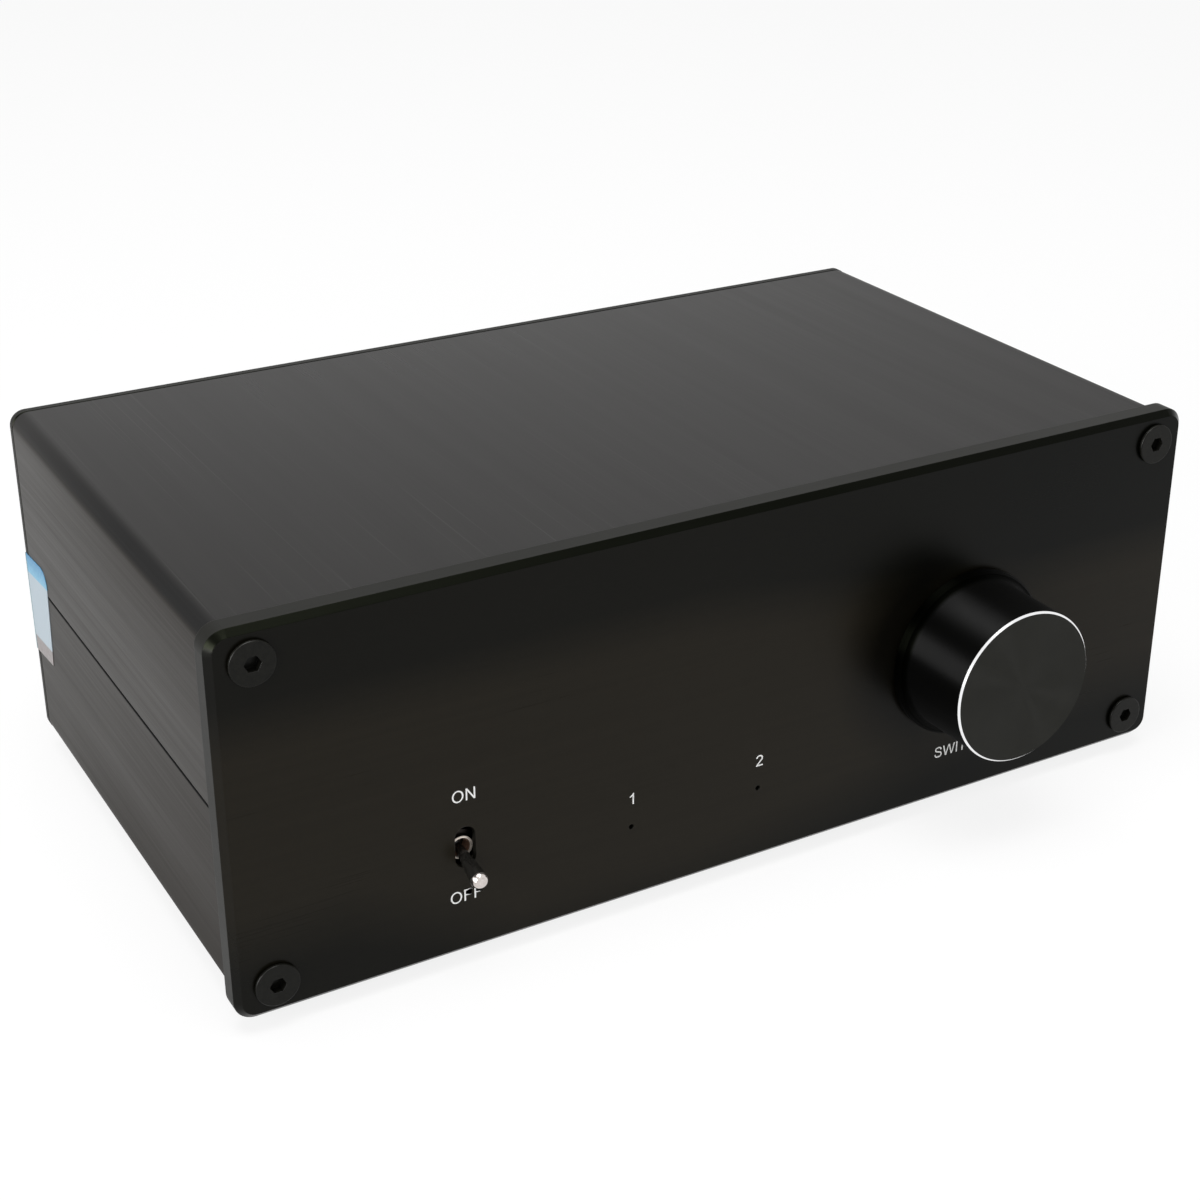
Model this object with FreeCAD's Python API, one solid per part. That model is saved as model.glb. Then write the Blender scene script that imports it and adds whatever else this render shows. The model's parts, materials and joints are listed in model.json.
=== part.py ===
"""Speaker selector switch: a table-top case with a toggle, a rotary selector and binding posts.

Case coordinates, in millimetres: x to the right seen from the front, from the middle of the case;
y from the front panel's face towards the rear; z up from the front panel's lower edge.
Every shape is moved to the part's own origin when it is saved: the middle of the overall box,
on the surface that the feet stand on.
"""
import FreeCAD, Part
import math
import os

Vector = FreeCAD.Vector
BACKWARD = Vector(0, 1, 0)
UP = Vector(0, 0, 1)
RIGHT = Vector(1, 0, 0)

# ---------------------------------------------------------------- fits
running_gap = 0.05          # radial, shaft in its bearing or thread in its nut
loose_gap = 0.1             # radial, screw or stud through a plate
swing_gap = 0.3             # between a moving piece and what it moves past
solder_gap = 0.15           # round a pin in a board hole

# ---------------------------------------------------------------- case
panel_width = 190.0
panel_height = 68.5
panel_thickness = 4.5
panel_corner_radius = 3.6
panel_chamfer = 1.1
case_depth = 107.5          # front panel's face to rear plate's outer face
rear_plate_thickness = 2.0
rear_plate_corner_radius = 2.9
rear_plate_edge = 0.3       # chamfer round both faces of the rear plate
side_step = 1.4             # how far the front panel stands out past the shells, each side
top_step = 1.0              # the same above and below
shell_corner_radius = 3.2
side_wall = 3.0
cover_wall = 2.2            # top of the upper shell, bottom of the lower shell
inner_corner_radius = 1.5
seam_height = 35.0
seam_chamfer = 0.35
tongue_width = 1.4
tongue_height = 2.5

# ---------------------------------------------------------------- case screws
screw_inset_x = 6.9         # from the front panel's side edge
screw_inset_z = 5.8         # from the front panel's upper and lower edge
screw_radius = 2.0
screw_head_radius = 3.75
screw_rim = 0.5             # straight rim of the countersunk head
screw_head_edge = 0.2
front_screw_proud = 0.8
rear_screw_proud = 0.3
screw_length = 16.0
screw_socket_flats = 2.5
screw_socket_depth = 1.5
screw_boss_radius = 3.6

# ---------------------------------------------------------------- feet and label
foot_radius = 6.0
foot_taper = 0.6
foot_height = 3.6
foot_edge = 0.5
foot_inset_x = 20.0         # from the front panel's side edge
foot_inset_front = 16.0     # from the front panel's face
foot_inset_rear = 13.5      # from the rear plate's outer face
label_thickness = 0.1
label_foot_length = 11.2    # forward from the rear plate's outer face, along its lower edge
label_head_length = 13.8    # the same along its upper edge
label_bottom = 18.8         # at the rear plate
label_height = 20.3
label_rise = 1.1            # its front above its rear
label_corner_radius = 3.2

# ---------------------------------------------------------------- main board
board_thickness = 1.6
board_top = 12.2
board_rail_depth = 2.0      # how far a rail stands in from the side wall
board_rail_thickness = 1.5
board_slot_play = 0.3
board_side_play = 0.3
board_front_gap = 1.5       # behind the front panel
board_rear_gap = 7.5        # in front of the rear plate
solder_tail = 1.0           # pin below a board

# ---------------------------------------------------------------- toggle switch
toggle_inset_x = 40.4       # from the front panel's left edge
toggle_z = 19.3
toggle_slot_width = 3.7
toggle_slot_height = 7.6
toggle_slot_z = 20.35
toggle_skin = 1.2           # panel left in front of the bushing
toggle_nose_recess = 1.7    # bushing's nose behind the panel's face
toggle_nose_radius = 2.1
toggle_nose_length = 0.7
toggle_mouth_radius = 1.75
toggle_throat_radius = 1.25
toggle_throat_depth = 1.5   # cone from the mouth to the throat
toggle_throat_length = 0.4
toggle_bushing_radius = 3.0
toggle_bushing_length = 5.8
toggle_ball_radius = 1.45
toggle_pivot_depth = 4.4    # pivot behind the panel's face
toggle_half_throw = 15.5    # degrees, from straight out to OFF
toggle_reach = 9.45         # pivot to the centre of the domed tip
toggle_tip_radius = 1.5
toggle_root_radius = 0.65
toggle_tail_radius = 0.6
toggle_tail_length = 7.6    # pivot to the tail's flat end
toggle_body_width = 6.8
toggle_body_height = 12.8
toggle_body_length = 9.0
toggle_body_wall = 1.2
toggle_frame_thickness = 0.8
toggle_leg_width = 1.2
toggle_wiper_width = 2.4
toggle_wiper_thickness = 0.4
terminal_pitch = 4.7
terminal_width = 1.2
terminal_thickness = 0.6
terminal_row_pitch = 2.5    # board holes, one row behind another

# ---------------------------------------------------------------- lamps
lamp_offset_x = 31.1        # first lamp from the toggle
lamp_pitch_x = 25.7
lamp_z = 14.5
lamp_hole_radius = 0.5
lamp_radius = 1.5
lamp_pocket_depth = 3.0
lamp_length = 5.3
lamp_flange_radius = 1.9
lamp_flange_thickness = 1.0
lamp_tip_gap = 0.5
lamp_leg_size = 0.5
lamp_leg_pitch = 2.54
lamp_leg_run = 1.8          # leg behind the flange before it turns down

# ---------------------------------------------------------------- rotary selector
selector_inset_x = 48.4     # from the front panel's right edge
selector_z = 30.4
selector_throw = 30.0       # degrees between the two positions
selector_shaft_radius = 3.0
selector_bushing_radius = 4.5
selector_bushing_reach = 3.2
selector_washer_radius = 6.5
selector_washer_thickness = 0.5
selector_nut_flats = 12.0
selector_nut_thickness = 2.2
selector_plate_radius = 12.5
selector_plate_thickness = 1.2
selector_housing_length = 12.0
selector_housing_wall = 1.6
selector_rotor_radius = 9.5
selector_rotor_thickness = 5.0
selector_rotor_gap = 3.0    # behind the front plate
selector_stop_top = 90.0    # degrees, the tab's place midway between the positions
selector_stop_tab = 20.0    # degrees, width of the rotor's tab
selector_stop_reach = 1.3   # tab beyond the rotor
selector_stop_play = 1.0    # degrees left at each stop
selector_stop_lug = 12.0    # degrees, width of each stop in the housing
selector_pivot_radius = 2.0
selector_pivot_length = 1.4
selector_terminal_pitch = 5.0
selector_terminal_drop = 7.0
selector_terminal_length = 6.5
wiper_inner_radius = 6.3
wiper_outer_radius = 9.3
wiper_thickness = 0.4
wiper_angles = (-96.0, -50.0)   # degrees at rest, from +x towards +z

# ---------------------------------------------------------------- knob
knob_radius = 14.45
knob_reach = 16.9           # knob's face in front of the panel
knob_bevel = 0.35
knob_gap = 0.4              # flange in front of the panel
knob_flange_radius = 16.05
knob_flange_thickness = 1.5
knob_flange_chamfer = 0.4
knob_flange_fillet = 1.0    # between the side and the flange
knob_recess_radius = 8.2
knob_recess_depth = 4.0
knob_face_thickness = 2.3   # solid aluminium in front of the shaft's bore
shaft_flat_depth = 1.5
shaft_flat_length = 9.0
grub_screw_radius = 1.5
grub_screw_length = 8.0
grub_socket_flats = 1.5
grub_socket_depth = 2.0
grub_screw_y = -8.5

# ---------------------------------------------------------------- wire harness
harness_wire_radius = 0.6
harness_bend_radius = 3.0
harness_run = 3.0
harness_plug_margin = 2.5   # plug past its outer wires
harness_plug_depth = 5.6
harness_plug_height = 4.0
harness_socket_height = 3.5

# ---------------------------------------------------------------- binding posts
post_group_xs = (-62.0, -14.0, 34.0)
post_pitch_x = 19.0
post_inset_z = 22.25        # from the front panel's upper and lower edge
stud_radius = 3.0
stud_bore_radius = 2.0      # takes a 4 mm plug
stud_bore_depth = 13.2
stud_flange_radius = 4.5
stud_flange_thickness = 1.0
wire_hole_radius = 0.9
wire_hole_offset = 2.0      # hole's centre behind the collar
collar_radius = 6.0
collar_thickness = 3.0
collar_nose_radius = 4.0
post_washer_thickness = 1.5
post_nut_flats = 8.0
post_nut_thickness = 2.5
stud_tail = 1.4             # stud past its nut
cap_radius = 6.0
cap_flutes = 12
cap_flute_radius = 1.1
cap_flute_depth = 0.55
cap_seat_gap = 0.3
cap_length = 16.7
cap_lip = 1.2
cap_lip_radius = 2.6
cap_edge = 0.6

# ---------------------------------------------------------------- rear terminal board
rear_board_margin = 9.0     # board past the outer posts
rear_board_bottom_margin = 8.5

# ---------------------------------------------------------------- board connector
header_pins = 12
header_pitch = 5.08
header_pin_size = 0.8
header_depth = 2.5
header_height = 5.0
header_pin_z = 3.0          # pin row above the main board
header_edge_gap = 0.5       # block in from the main board's rear edge

# ---------------------------------------------------------------- relays and parts on the board
relay_count = 4
relay_inset_x = 28.3        # first relay from the main board's left edge
relay_pitch = 26.0
relay_width = 12.7
relay_depth = 28.5
relay_height = 24.0
relay_front = 52.0
relay_edge = 0.8
relay_pin_inset = 3.0
relay_pin_size = 0.5
capacitor_count = 2
capacitor_inset_x = 10.3    # from the main board's left edge
capacitor_pitch = 10.0
capacitor_y = 30.0
capacitor_radius = 4.0
capacitor_height = 12.0
capacitor_edge = 0.5
driver_chip_inset_x = 60.3  # from the main board's left edge
driver_chip_y = 34.0
driver_chip_width = 6.6
driver_chip_length = 22.0
driver_chip_height = 3.6
driver_chip_standoff = 0.5
driver_chip_pin_pitch = 2.54
driver_chip_pins_per_side = 8
driver_chip_pin_width = 0.5

# ---------------------------------------------------------------- power jack
jack_inset_x = 23.0         # from the front panel's right edge
jack_width = 9.0
jack_length = 12.0
jack_height = 11.0
jack_axis_height = 6.5      # above the board
jack_nose_radius = 4.2
jack_bore_radius = 2.9
jack_bore_depth = 9.5
jack_pin_radius = 1.05
jack_pin_recess = 0.6
jack_leg_size = 1.0
jack_leg_ys = (1.5, 4.0)    # behind the jack's front

# ---------------------------------------------------------------- worked-out places
rear_face = case_depth
rear_inner = case_depth - rear_plate_thickness
shell_half_width = panel_width / 2 - side_step
shell_bottom = top_step
shell_top = panel_height - top_step
inner_half_width = shell_half_width - side_wall
inner_bottom = shell_bottom + cover_wall
inner_top = shell_top - cover_wall
screw_x = panel_width / 2 - screw_inset_x
screw_z_low = screw_inset_z
screw_z_high = panel_height - screw_inset_z
board_bottom = board_top - board_thickness
board_half_width = inner_half_width - board_side_play
board_front = panel_thickness + board_front_gap
board_rear = rear_inner - board_rear_gap
pin_end = board_bottom - solder_tail
post_zs = (post_inset_z, panel_height - post_inset_z)
post_xs = tuple(x + side * post_pitch_x / 2 for x in post_group_xs for side in (-1, 1))
washer_front = rear_inner - post_washer_thickness
rear_board_front = washer_front - board_thickness
nut_front = rear_board_front - post_nut_thickness
stud_front = nut_front - stud_tail
flange_rear = rear_face + collar_thickness + stud_flange_thickness
cap_front = flange_rear + cap_seat_gap
cap_rear = cap_front + cap_length
stud_rear = cap_rear - cap_lip - cap_seat_gap
toggle_x = toggle_inset_x - panel_width / 2
lamp_xs = (toggle_x + lamp_offset_x, toggle_x + lamp_offset_x + lamp_pitch_x)
selector_x = panel_width / 2 - selector_inset_x
jack_x = panel_width / 2 - jack_inset_x
capacitor_xs = tuple(capacitor_inset_x - board_half_width + step * capacitor_pitch
                     for step in range(capacitor_count))
relay_xs = tuple(relay_inset_x - board_half_width + step * relay_pitch for step in range(relay_count))
driver_chip_x = driver_chip_inset_x - board_half_width
header_z = board_top + header_pin_z
header_rear = board_rear - header_edge_gap
selector_plate_rear = panel_thickness + selector_plate_thickness
housing_rear = selector_plate_rear + selector_housing_length
rotor_front = selector_plate_rear + selector_rotor_gap
rotor_rear = rotor_front + selector_rotor_thickness
shaft_front = -(knob_reach - knob_face_thickness - running_gap)
housing_inner_radius = selector_rotor_radius + selector_stop_reach + swing_gap
housing_radius = housing_inner_radius + selector_housing_wall
housing_wall_front = housing_rear - selector_housing_wall
shaft_rear = housing_wall_front - swing_gap
terminal_z = selector_z - selector_terminal_drop
terminal_rear = housing_rear + selector_terminal_length
socket_top = board_top + harness_socket_height
plug_top = socket_top + harness_plug_height
jack_front = rear_inner - jack_length
jack_z = board_top + jack_axis_height
toggle_bushing_front = toggle_nose_recess + toggle_nose_length
toggle_body_front = toggle_bushing_front + toggle_bushing_length
toggle_throw_angle = math.radians(toggle_half_throw)
tail_end_offset = toggle_tail_length * math.sin(toggle_throw_angle)
outer_terminal_edge = terminal_pitch + terminal_thickness / 2
toggle_wiper_reach = (outer_terminal_edge - tail_end_offset) / math.cos(toggle_throw_angle)

# The part's origin in case coordinates: middle of the overall box, under the feet.
part_origin = Vector(0, (cap_rear - knob_reach) / 2, shell_bottom - foot_height)


# ================================================================ helpers
def block(x_low, x_high, y_low, y_high, z_low, z_high):
    """Box between two corners."""
    return Part.makeBox(x_high - x_low, y_high - y_low, z_high - z_low, Vector(x_low, y_low, z_low))


def rod(radius, y_low, y_high, x=0.0, z=0.0):
    """Cylinder along y."""
    return Part.makeCylinder(radius, y_high - y_low, Vector(x, y_low, z), BACKWARD)


def taper(radius_low, radius_high, y_low, y_high, x=0.0, z=0.0):
    """Cone along y."""
    return Part.makeCone(radius_low, radius_high, y_high - y_low, Vector(x, y_low, z), BACKWARD)


def hexagon(flats, y_low, y_high, x=0.0, z=0.0):
    """Hexagonal bar along y, measured across its flats."""
    corner = flats / math.sqrt(3)
    angles = [math.radians(60 * step) for step in range(7)]
    points = [Vector(x + corner * math.cos(a), y_low, z + corner * math.sin(a)) for a in angles]
    return Part.Face(Part.makePolygon(points)).extrude(BACKWARD * (y_high - y_low))


def along_y(edge):
    """True for a straight edge that runs along y."""
    start = edge.Vertexes[0].Point
    end = edge.Vertexes[-1].Point
    return abs(start.x - end.x) < 1e-6 and abs(start.z - end.z) < 1e-6


def rounded_plate(half_width, z_low, z_high, radius, y_low, y_high):
    """Plate across the case with rounded corners."""
    plate = block(-half_width, half_width, y_low, y_high, z_low, z_high)
    return plate.makeFillet(radius, [edge for edge in plate.Edges if along_y(edge)])


def edges_at_y(shape, y):
    """Edges that lie wholly in the plane at y."""
    return [edge for edge in shape.Edges
            if abs(edge.BoundBox.YMin - y) < 1e-4 and abs(edge.BoundBox.YMax - y) < 1e-4]


def edges_at_z(shape, z):
    """Edges that lie wholly in the plane at z."""
    return [edge for edge in shape.Edges
            if abs(edge.BoundBox.ZMin - z) < 1e-4 and abs(edge.BoundBox.ZMax - z) < 1e-4]


def turn(points):
    """Solid turned about the y axis from (radius, y) points, the first and last on the axis."""
    profile = [Vector(radius, y, 0) for radius, y in points]
    face = Part.Face(Part.makePolygon(profile + [profile[0]]))
    return face.revolve(Vector(0, 0, 0), BACKWARD, 360)


def all_of(shapes):
    """One solid from pieces that touch or overlap."""
    shapes = list(shapes)
    return shapes[0].multiFuse(shapes[1:]).removeSplitter()


def save(node, *solids):
    """Move a node's solids to the part's origin and write them to one STEP file."""
    shape = solids[0] if len(solids) == 1 else Part.makeCompound(list(solids))
    shape = shape.copy()
    shape.translate(-part_origin)
    shape.exportStep("parts/" + node + ".step")


# ================================================================ case
def case_screw(x, z, proud):
    """Countersunk socket screw along y, its head at the low-y end of a surface at y = 0."""
    cone_start = screw_rim - proud
    cone_length = screw_head_radius - screw_radius
    head = rod(screw_head_radius, -proud, cone_start, x, z)
    head = head.makeFillet(screw_head_edge, edges_at_y(head, -proud))
    cone = taper(screw_head_radius, screw_radius, cone_start, cone_start + cone_length, x, z)
    shank = rod(screw_radius, cone_start + cone_length, screw_length, x, z)
    socket = hexagon(screw_socket_flats, -proud, screw_socket_depth - proud, x, z)
    return all_of([head, cone, shank]).cut(socket)


def screw_sink(x, z, proud, thickness):
    """Hole and countersink for a case screw in a plate whose outer face is at y = 0."""
    cone_end = screw_rim - proud + screw_head_radius - screw_radius
    sink = taper(screw_radius + cone_end + loose_gap, screw_radius + loose_gap, 0, cone_end, x, z)
    return all_of([sink, rod(screw_radius + loose_gap, 0, thickness, x, z)])


def corner_places():
    """Centres of the four case screws."""
    return [(x, z) for z in (screw_z_low, screw_z_high) for x in (-screw_x, screw_x)]


def turned_to_rear(shape):
    """Turn a shape made for a face at y = 0 so that it sits in the rear plate."""
    turned = shape.copy()
    turned.rotate(Vector(0, 0, 0), UP, 180)
    turned.translate(Vector(0, rear_face, 0))
    return turned


def make_front_panel():
    """Plate with a chamfer round its face that follows the rounded corners."""
    panel = rounded_plate(panel_width / 2, 0, panel_height, panel_corner_radius, 0, panel_thickness)
    panel = panel.makeChamfer(panel_chamfer, edges_at_y(panel, 0))
    cuts = [screw_sink(x, z, front_screw_proud, panel_thickness) for x, z in corner_places()]
    end = (toggle_slot_height - toggle_slot_width) / 2
    half = toggle_slot_width / 2
    cuts.append(block(toggle_x - half, toggle_x + half, 0, panel_thickness,
                      toggle_slot_z - end, toggle_slot_z + end))
    for side in (-1, 1):
        cuts.append(rod(half, 0, panel_thickness, toggle_x, toggle_slot_z + side * end))
    cuts.append(rod(toggle_bushing_radius + 2 * swing_gap, toggle_skin, panel_thickness, toggle_x, toggle_z))
    for x in lamp_xs:
        cuts.append(rod(lamp_hole_radius, 0, panel_thickness, x, lamp_z))
        pocket_start = panel_thickness - lamp_pocket_depth
        cuts.append(rod(lamp_radius + swing_gap, pocket_start, panel_thickness, x, lamp_z))
    cuts.append(rod(selector_bushing_radius + loose_gap, 0, panel_thickness, selector_x, selector_z))
    return panel.cut(cuts)


def shell_section():
    """Both shells as one tube, with screw bosses in the corners."""
    outer = rounded_plate(shell_half_width, shell_bottom, shell_top, shell_corner_radius,
                          panel_thickness, rear_inner)
    inner = rounded_plate(inner_half_width, inner_bottom, inner_top, inner_corner_radius,
                          panel_thickness, rear_inner)
    bosses = [rod(screw_boss_radius, panel_thickness, rear_inner, x, z) for x, z in corner_places()]
    tube = outer.cut(inner).multiFuse([boss.common(outer) for boss in bosses])
    holes = [rod(screw_radius + running_gap, panel_thickness, rear_inner, x, z)
             for x, z in corner_places()]
    return tube.cut(holes).removeSplitter()


def seam_edges(shell):
    """The long outer edges of a shell at the seam."""
    return [edge for edge in edges_at_z(shell, seam_height)
            if along_y(edge) and abs(abs(edge.Vertexes[0].X) - shell_half_width) < 1e-4]


def side_pairs(x_low, x_high, z_low, z_high):
    """The same bar along the case at its left and its right wall."""
    return [block(x_low, x_high, panel_thickness, rear_inner, z_low, z_high),
            block(-x_high, -x_low, panel_thickness, rear_inner, z_low, z_high)]


def make_upper_shell(tube):
    keep = block(-panel_width, panel_width, 0, case_depth, seam_height, panel_height)
    shell = tube.common(keep)
    groove_width = tongue_width + loose_gap
    grooves = side_pairs(inner_half_width, inner_half_width + groove_width,
                         seam_height, seam_height + tongue_height + swing_gap)
    shell = shell.cut(grooves)
    return shell.makeChamfer(seam_chamfer, seam_edges(shell))


def make_lower_shell(tube):
    keep = block(-panel_width, panel_width, 0, case_depth, 0, seam_height)
    shell = tube.common(keep)
    shell = shell.makeChamfer(seam_chamfer, seam_edges(shell))
    tongues = side_pairs(inner_half_width, inner_half_width + tongue_width,
                         seam_height, seam_height + tongue_height)
    rail_inner = inner_half_width - board_rail_depth
    lower_rails = side_pairs(rail_inner, inner_half_width,
                             board_bottom - board_rail_thickness, board_bottom)
    upper_start = board_top + board_slot_play
    upper_rails = side_pairs(rail_inner, inner_half_width,
                             upper_start, upper_start + board_rail_thickness)
    return all_of([shell] + tongues + lower_rails + upper_rails)


def make_rear_plate():
    plate = rounded_plate(shell_half_width, shell_bottom, shell_top, rear_plate_corner_radius,
                          rear_inner, rear_face)
    rims = edges_at_y(plate, rear_inner) + edges_at_y(plate, rear_face)
    plate = plate.makeChamfer(rear_plate_edge, rims)
    cuts = [turned_to_rear(screw_sink(x, z, rear_screw_proud, rear_plate_thickness))
            for x, z in corner_places()]
    for x in post_xs:
        for z in post_zs:
            cuts.append(rod(collar_nose_radius + loose_gap, rear_inner, rear_face, x, z))
    cuts.append(rod(jack_nose_radius + loose_gap, rear_inner, rear_face, jack_x, jack_z))
    return plate.cut(cuts)


def make_feet():
    foot_bottom = shell_bottom - foot_height
    feet = []
    for x in (-panel_width / 2 + foot_inset_x, panel_width / 2 - foot_inset_x):
        for y in (foot_inset_front, case_depth - foot_inset_rear):
            foot = Part.makeCone(foot_radius - foot_taper, foot_radius, foot_height,
                                 Vector(x, y, foot_bottom), UP)
            feet.append(foot.makeFillet(foot_edge, edges_at_z(foot, foot_bottom)))
    return feet


def make_label():
    """Sticker on the left side, put on slightly askew, its upper front corner rounded."""
    x_outer = -shell_half_width - label_thickness
    label_top = label_bottom + label_height
    head = rear_face - label_head_length
    corners = [(rear_face, label_bottom), (rear_face - label_foot_length, label_bottom + label_rise),
               (head, label_top + label_rise), (rear_face, label_top)]
    points = [Vector(x_outer, y, z) for y, z in corners]
    label = Part.Face(Part.makePolygon(points + [points[0]])).extrude(RIGHT * label_thickness)
    return label.makeFillet(label_corner_radius, edges_at_y(label, head))


# ================================================================ boards
def bent_pin(x, z, y_start, y_bend, size_x, size_yz):
    """Pin that runs back from y_start at height z and turns down through the main board."""
    half_x = size_x / 2
    half = size_yz / 2
    run = block(x - half_x, x + half_x, y_start, y_bend + half, z - half, z + half)
    drop = block(x - half_x, x + half_x, y_bend - half, y_bend + half, pin_end, z + half)
    return all_of([run, drop])


def toggle_rows():
    """Height and board row of each toggle terminal, the lowest nearest the body."""
    first = toggle_body_front + toggle_body_length + terminal_row_pitch
    return [(toggle_z + (row - 1) * terminal_pitch, first + row * terminal_row_pitch) for row in range(3)]


def header_xs():
    """Pin places of the board connector, centred under the binding posts."""
    middle = (post_xs[0] + post_xs[-1]) / 2
    return [middle + (pin - (header_pins - 1) / 2) * header_pitch for pin in range(header_pins)]


def relay_pin_places(x):
    """Pins under one relay."""
    reach = relay_width / 2 - relay_pin_inset
    ys = (relay_front + relay_pin_inset, relay_front + relay_depth - relay_pin_inset)
    return [(x + side * reach, y) for side in (-1, 1) for y in ys]


def driver_chip_rows():
    """Pin places of the relay driver chip."""
    reach = driver_chip_width / 2 + driver_chip_pin_width / 2
    middle = (driver_chip_pins_per_side - 1) / 2
    return [(driver_chip_x + (pin - middle) * driver_chip_pin_pitch, driver_chip_y + side * reach)
            for pin in range(driver_chip_pins_per_side) for side in (-1, 1)]


def jack_leg_places():
    """Legs under the power jack."""
    return [(jack_x, jack_front + y) for y in jack_leg_ys]


def harness_xs():
    """The three wires of the selector's harness."""
    return [selector_x + step * selector_terminal_pitch for step in (-1, 0, 1)]


def harness_plug_y():
    """Middle of the harness plug on the main board."""
    return terminal_rear + harness_run + harness_bend_radius


def make_main_board():
    board = block(-board_half_width, board_half_width, board_front, board_rear, board_bottom, board_top)
    hole = terminal_thickness / 2 + solder_gap
    wide_hole = terminal_width / 2 + solder_gap
    cuts = []
    for height, row in toggle_rows():
        cuts.append(block(toggle_x - wide_hole, toggle_x + wide_hole, row - hole, row + hole,
                          board_bottom, board_top))
    for x in lamp_xs:
        for side in (-1, 1):
            cuts.append(upright_hole(x + side * lamp_leg_pitch / 2, lamp_leg_y(), lamp_leg_size / 2))
    for x in relay_xs:
        for pin_x, pin_y in relay_pin_places(x):
            cuts.append(upright_hole(pin_x, pin_y, relay_pin_size / 2))
    for x in header_xs():
        cuts.append(upright_hole(x, header_rear - header_depth / 2, header_pin_size / 2))
    for x, y in jack_leg_places():
        cuts.append(upright_hole(x, y, jack_leg_size / 2))
    return board.cut(cuts)


def upright_hole(x, y, half_size):
    """Square board hole round a pin of the given half size."""
    reach = half_size + solder_gap
    return block(x - reach, x + reach, y - reach, y + reach, board_bottom, board_top)


def make_rear_board():
    low_x = post_xs[0] - rear_board_margin
    high_x = post_xs[-1] + rear_board_margin
    low_z = post_zs[0] - rear_board_bottom_margin
    high_z = post_zs[1] + rear_board_margin
    board = block(low_x, high_x, rear_board_front, washer_front, low_z, high_z)
    cuts = [rod(stud_radius + loose_gap, rear_board_front, washer_front, x, z)
            for x in post_xs for z in post_zs]
    reach = header_pin_size / 2 + solder_gap
    for x in header_xs():
        cuts.append(block(x - reach, x + reach, rear_board_front, washer_front,
                          header_z - reach, header_z + reach))
    return board.cut(cuts)


def make_header():
    """Plastic strip of the board connector and its row of bent pins."""
    xs = header_xs()
    front = header_rear - header_depth
    strip = block(xs[0] - header_pitch / 2, xs[-1] + header_pitch / 2, front, header_rear,
                  board_top, board_top + header_height)
    half = header_pin_size / 2
    middle = header_rear - header_depth / 2
    pins = []
    for x in xs:
        run = block(x - half, x + half, middle - half, washer_front + solder_tail / 2,
                    header_z - half, header_z + half)
        drop = block(x - half, x + half, middle - half, middle + half, pin_end, header_z + half)
        pins.append(all_of([run, drop]))
    return strip.cut(pins), pins


def make_relays():
    cases = []
    pins = []
    for x in relay_xs:
        case = block(x - relay_width / 2, x + relay_width / 2, relay_front, relay_front + relay_depth,
                     board_top, board_top + relay_height)
        rim = [edge for edge in case.Edges if edge.BoundBox.ZMax > board_top + relay_edge]
        cases.append(case.makeFillet(relay_edge, rim))
        for pin_x, pin_y in relay_pin_places(x):
            pins.append(block(pin_x - relay_pin_size / 2, pin_x + relay_pin_size / 2,
                              pin_y - relay_pin_size / 2, pin_y + relay_pin_size / 2,
                              pin_end, board_top))
    return cases, pins


def make_capacitors():
    cans = []
    for x in capacitor_xs:
        can = Part.makeCylinder(capacitor_radius, capacitor_height, Vector(x, capacitor_y, board_top), UP)
        cans.append(can.makeFillet(capacitor_edge, edges_at_z(can, board_top + capacitor_height)))
    return cans


def make_driver_chip():
    """Relay driver: plastic body on its two rows of legs."""
    low = board_top + driver_chip_standoff
    body = block(driver_chip_x - driver_chip_length / 2, driver_chip_x + driver_chip_length / 2,
                 driver_chip_y - driver_chip_width / 2, driver_chip_y + driver_chip_width / 2,
                 low, low + driver_chip_height)
    half = driver_chip_pin_width / 2
    leg_top = low + driver_chip_height / 2
    legs = [block(x - half, x + half, y - half, y + half, board_top, leg_top)
            for x, y in driver_chip_rows()]
    return body, legs


# ================================================================ lamps
def lamp_front():
    """Y of a lamp's domed tip."""
    return panel_thickness - lamp_pocket_depth + lamp_tip_gap


def lamp_leg_y():
    """Y at which a lamp's legs turn down."""
    return lamp_front() + lamp_length + lamp_leg_run


def make_lamp(x):
    front = lamp_front()
    dome_y = front + lamp_radius
    flange_front = front + lamp_length - lamp_flange_thickness
    dome = Part.makeSphere(lamp_radius, Vector(x, dome_y, lamp_z))
    barrel = rod(lamp_radius, dome_y, flange_front, x, lamp_z)
    flange = rod(lamp_flange_radius, flange_front, front + lamp_length, x, lamp_z)
    lens = all_of([dome, barrel, flange])
    legs = [bent_pin(x + side * lamp_leg_pitch / 2, lamp_z, front + lamp_length, lamp_leg_y(),
                     lamp_leg_size, lamp_leg_size) for side in (-1, 1)]
    return [lens] + legs


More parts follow.
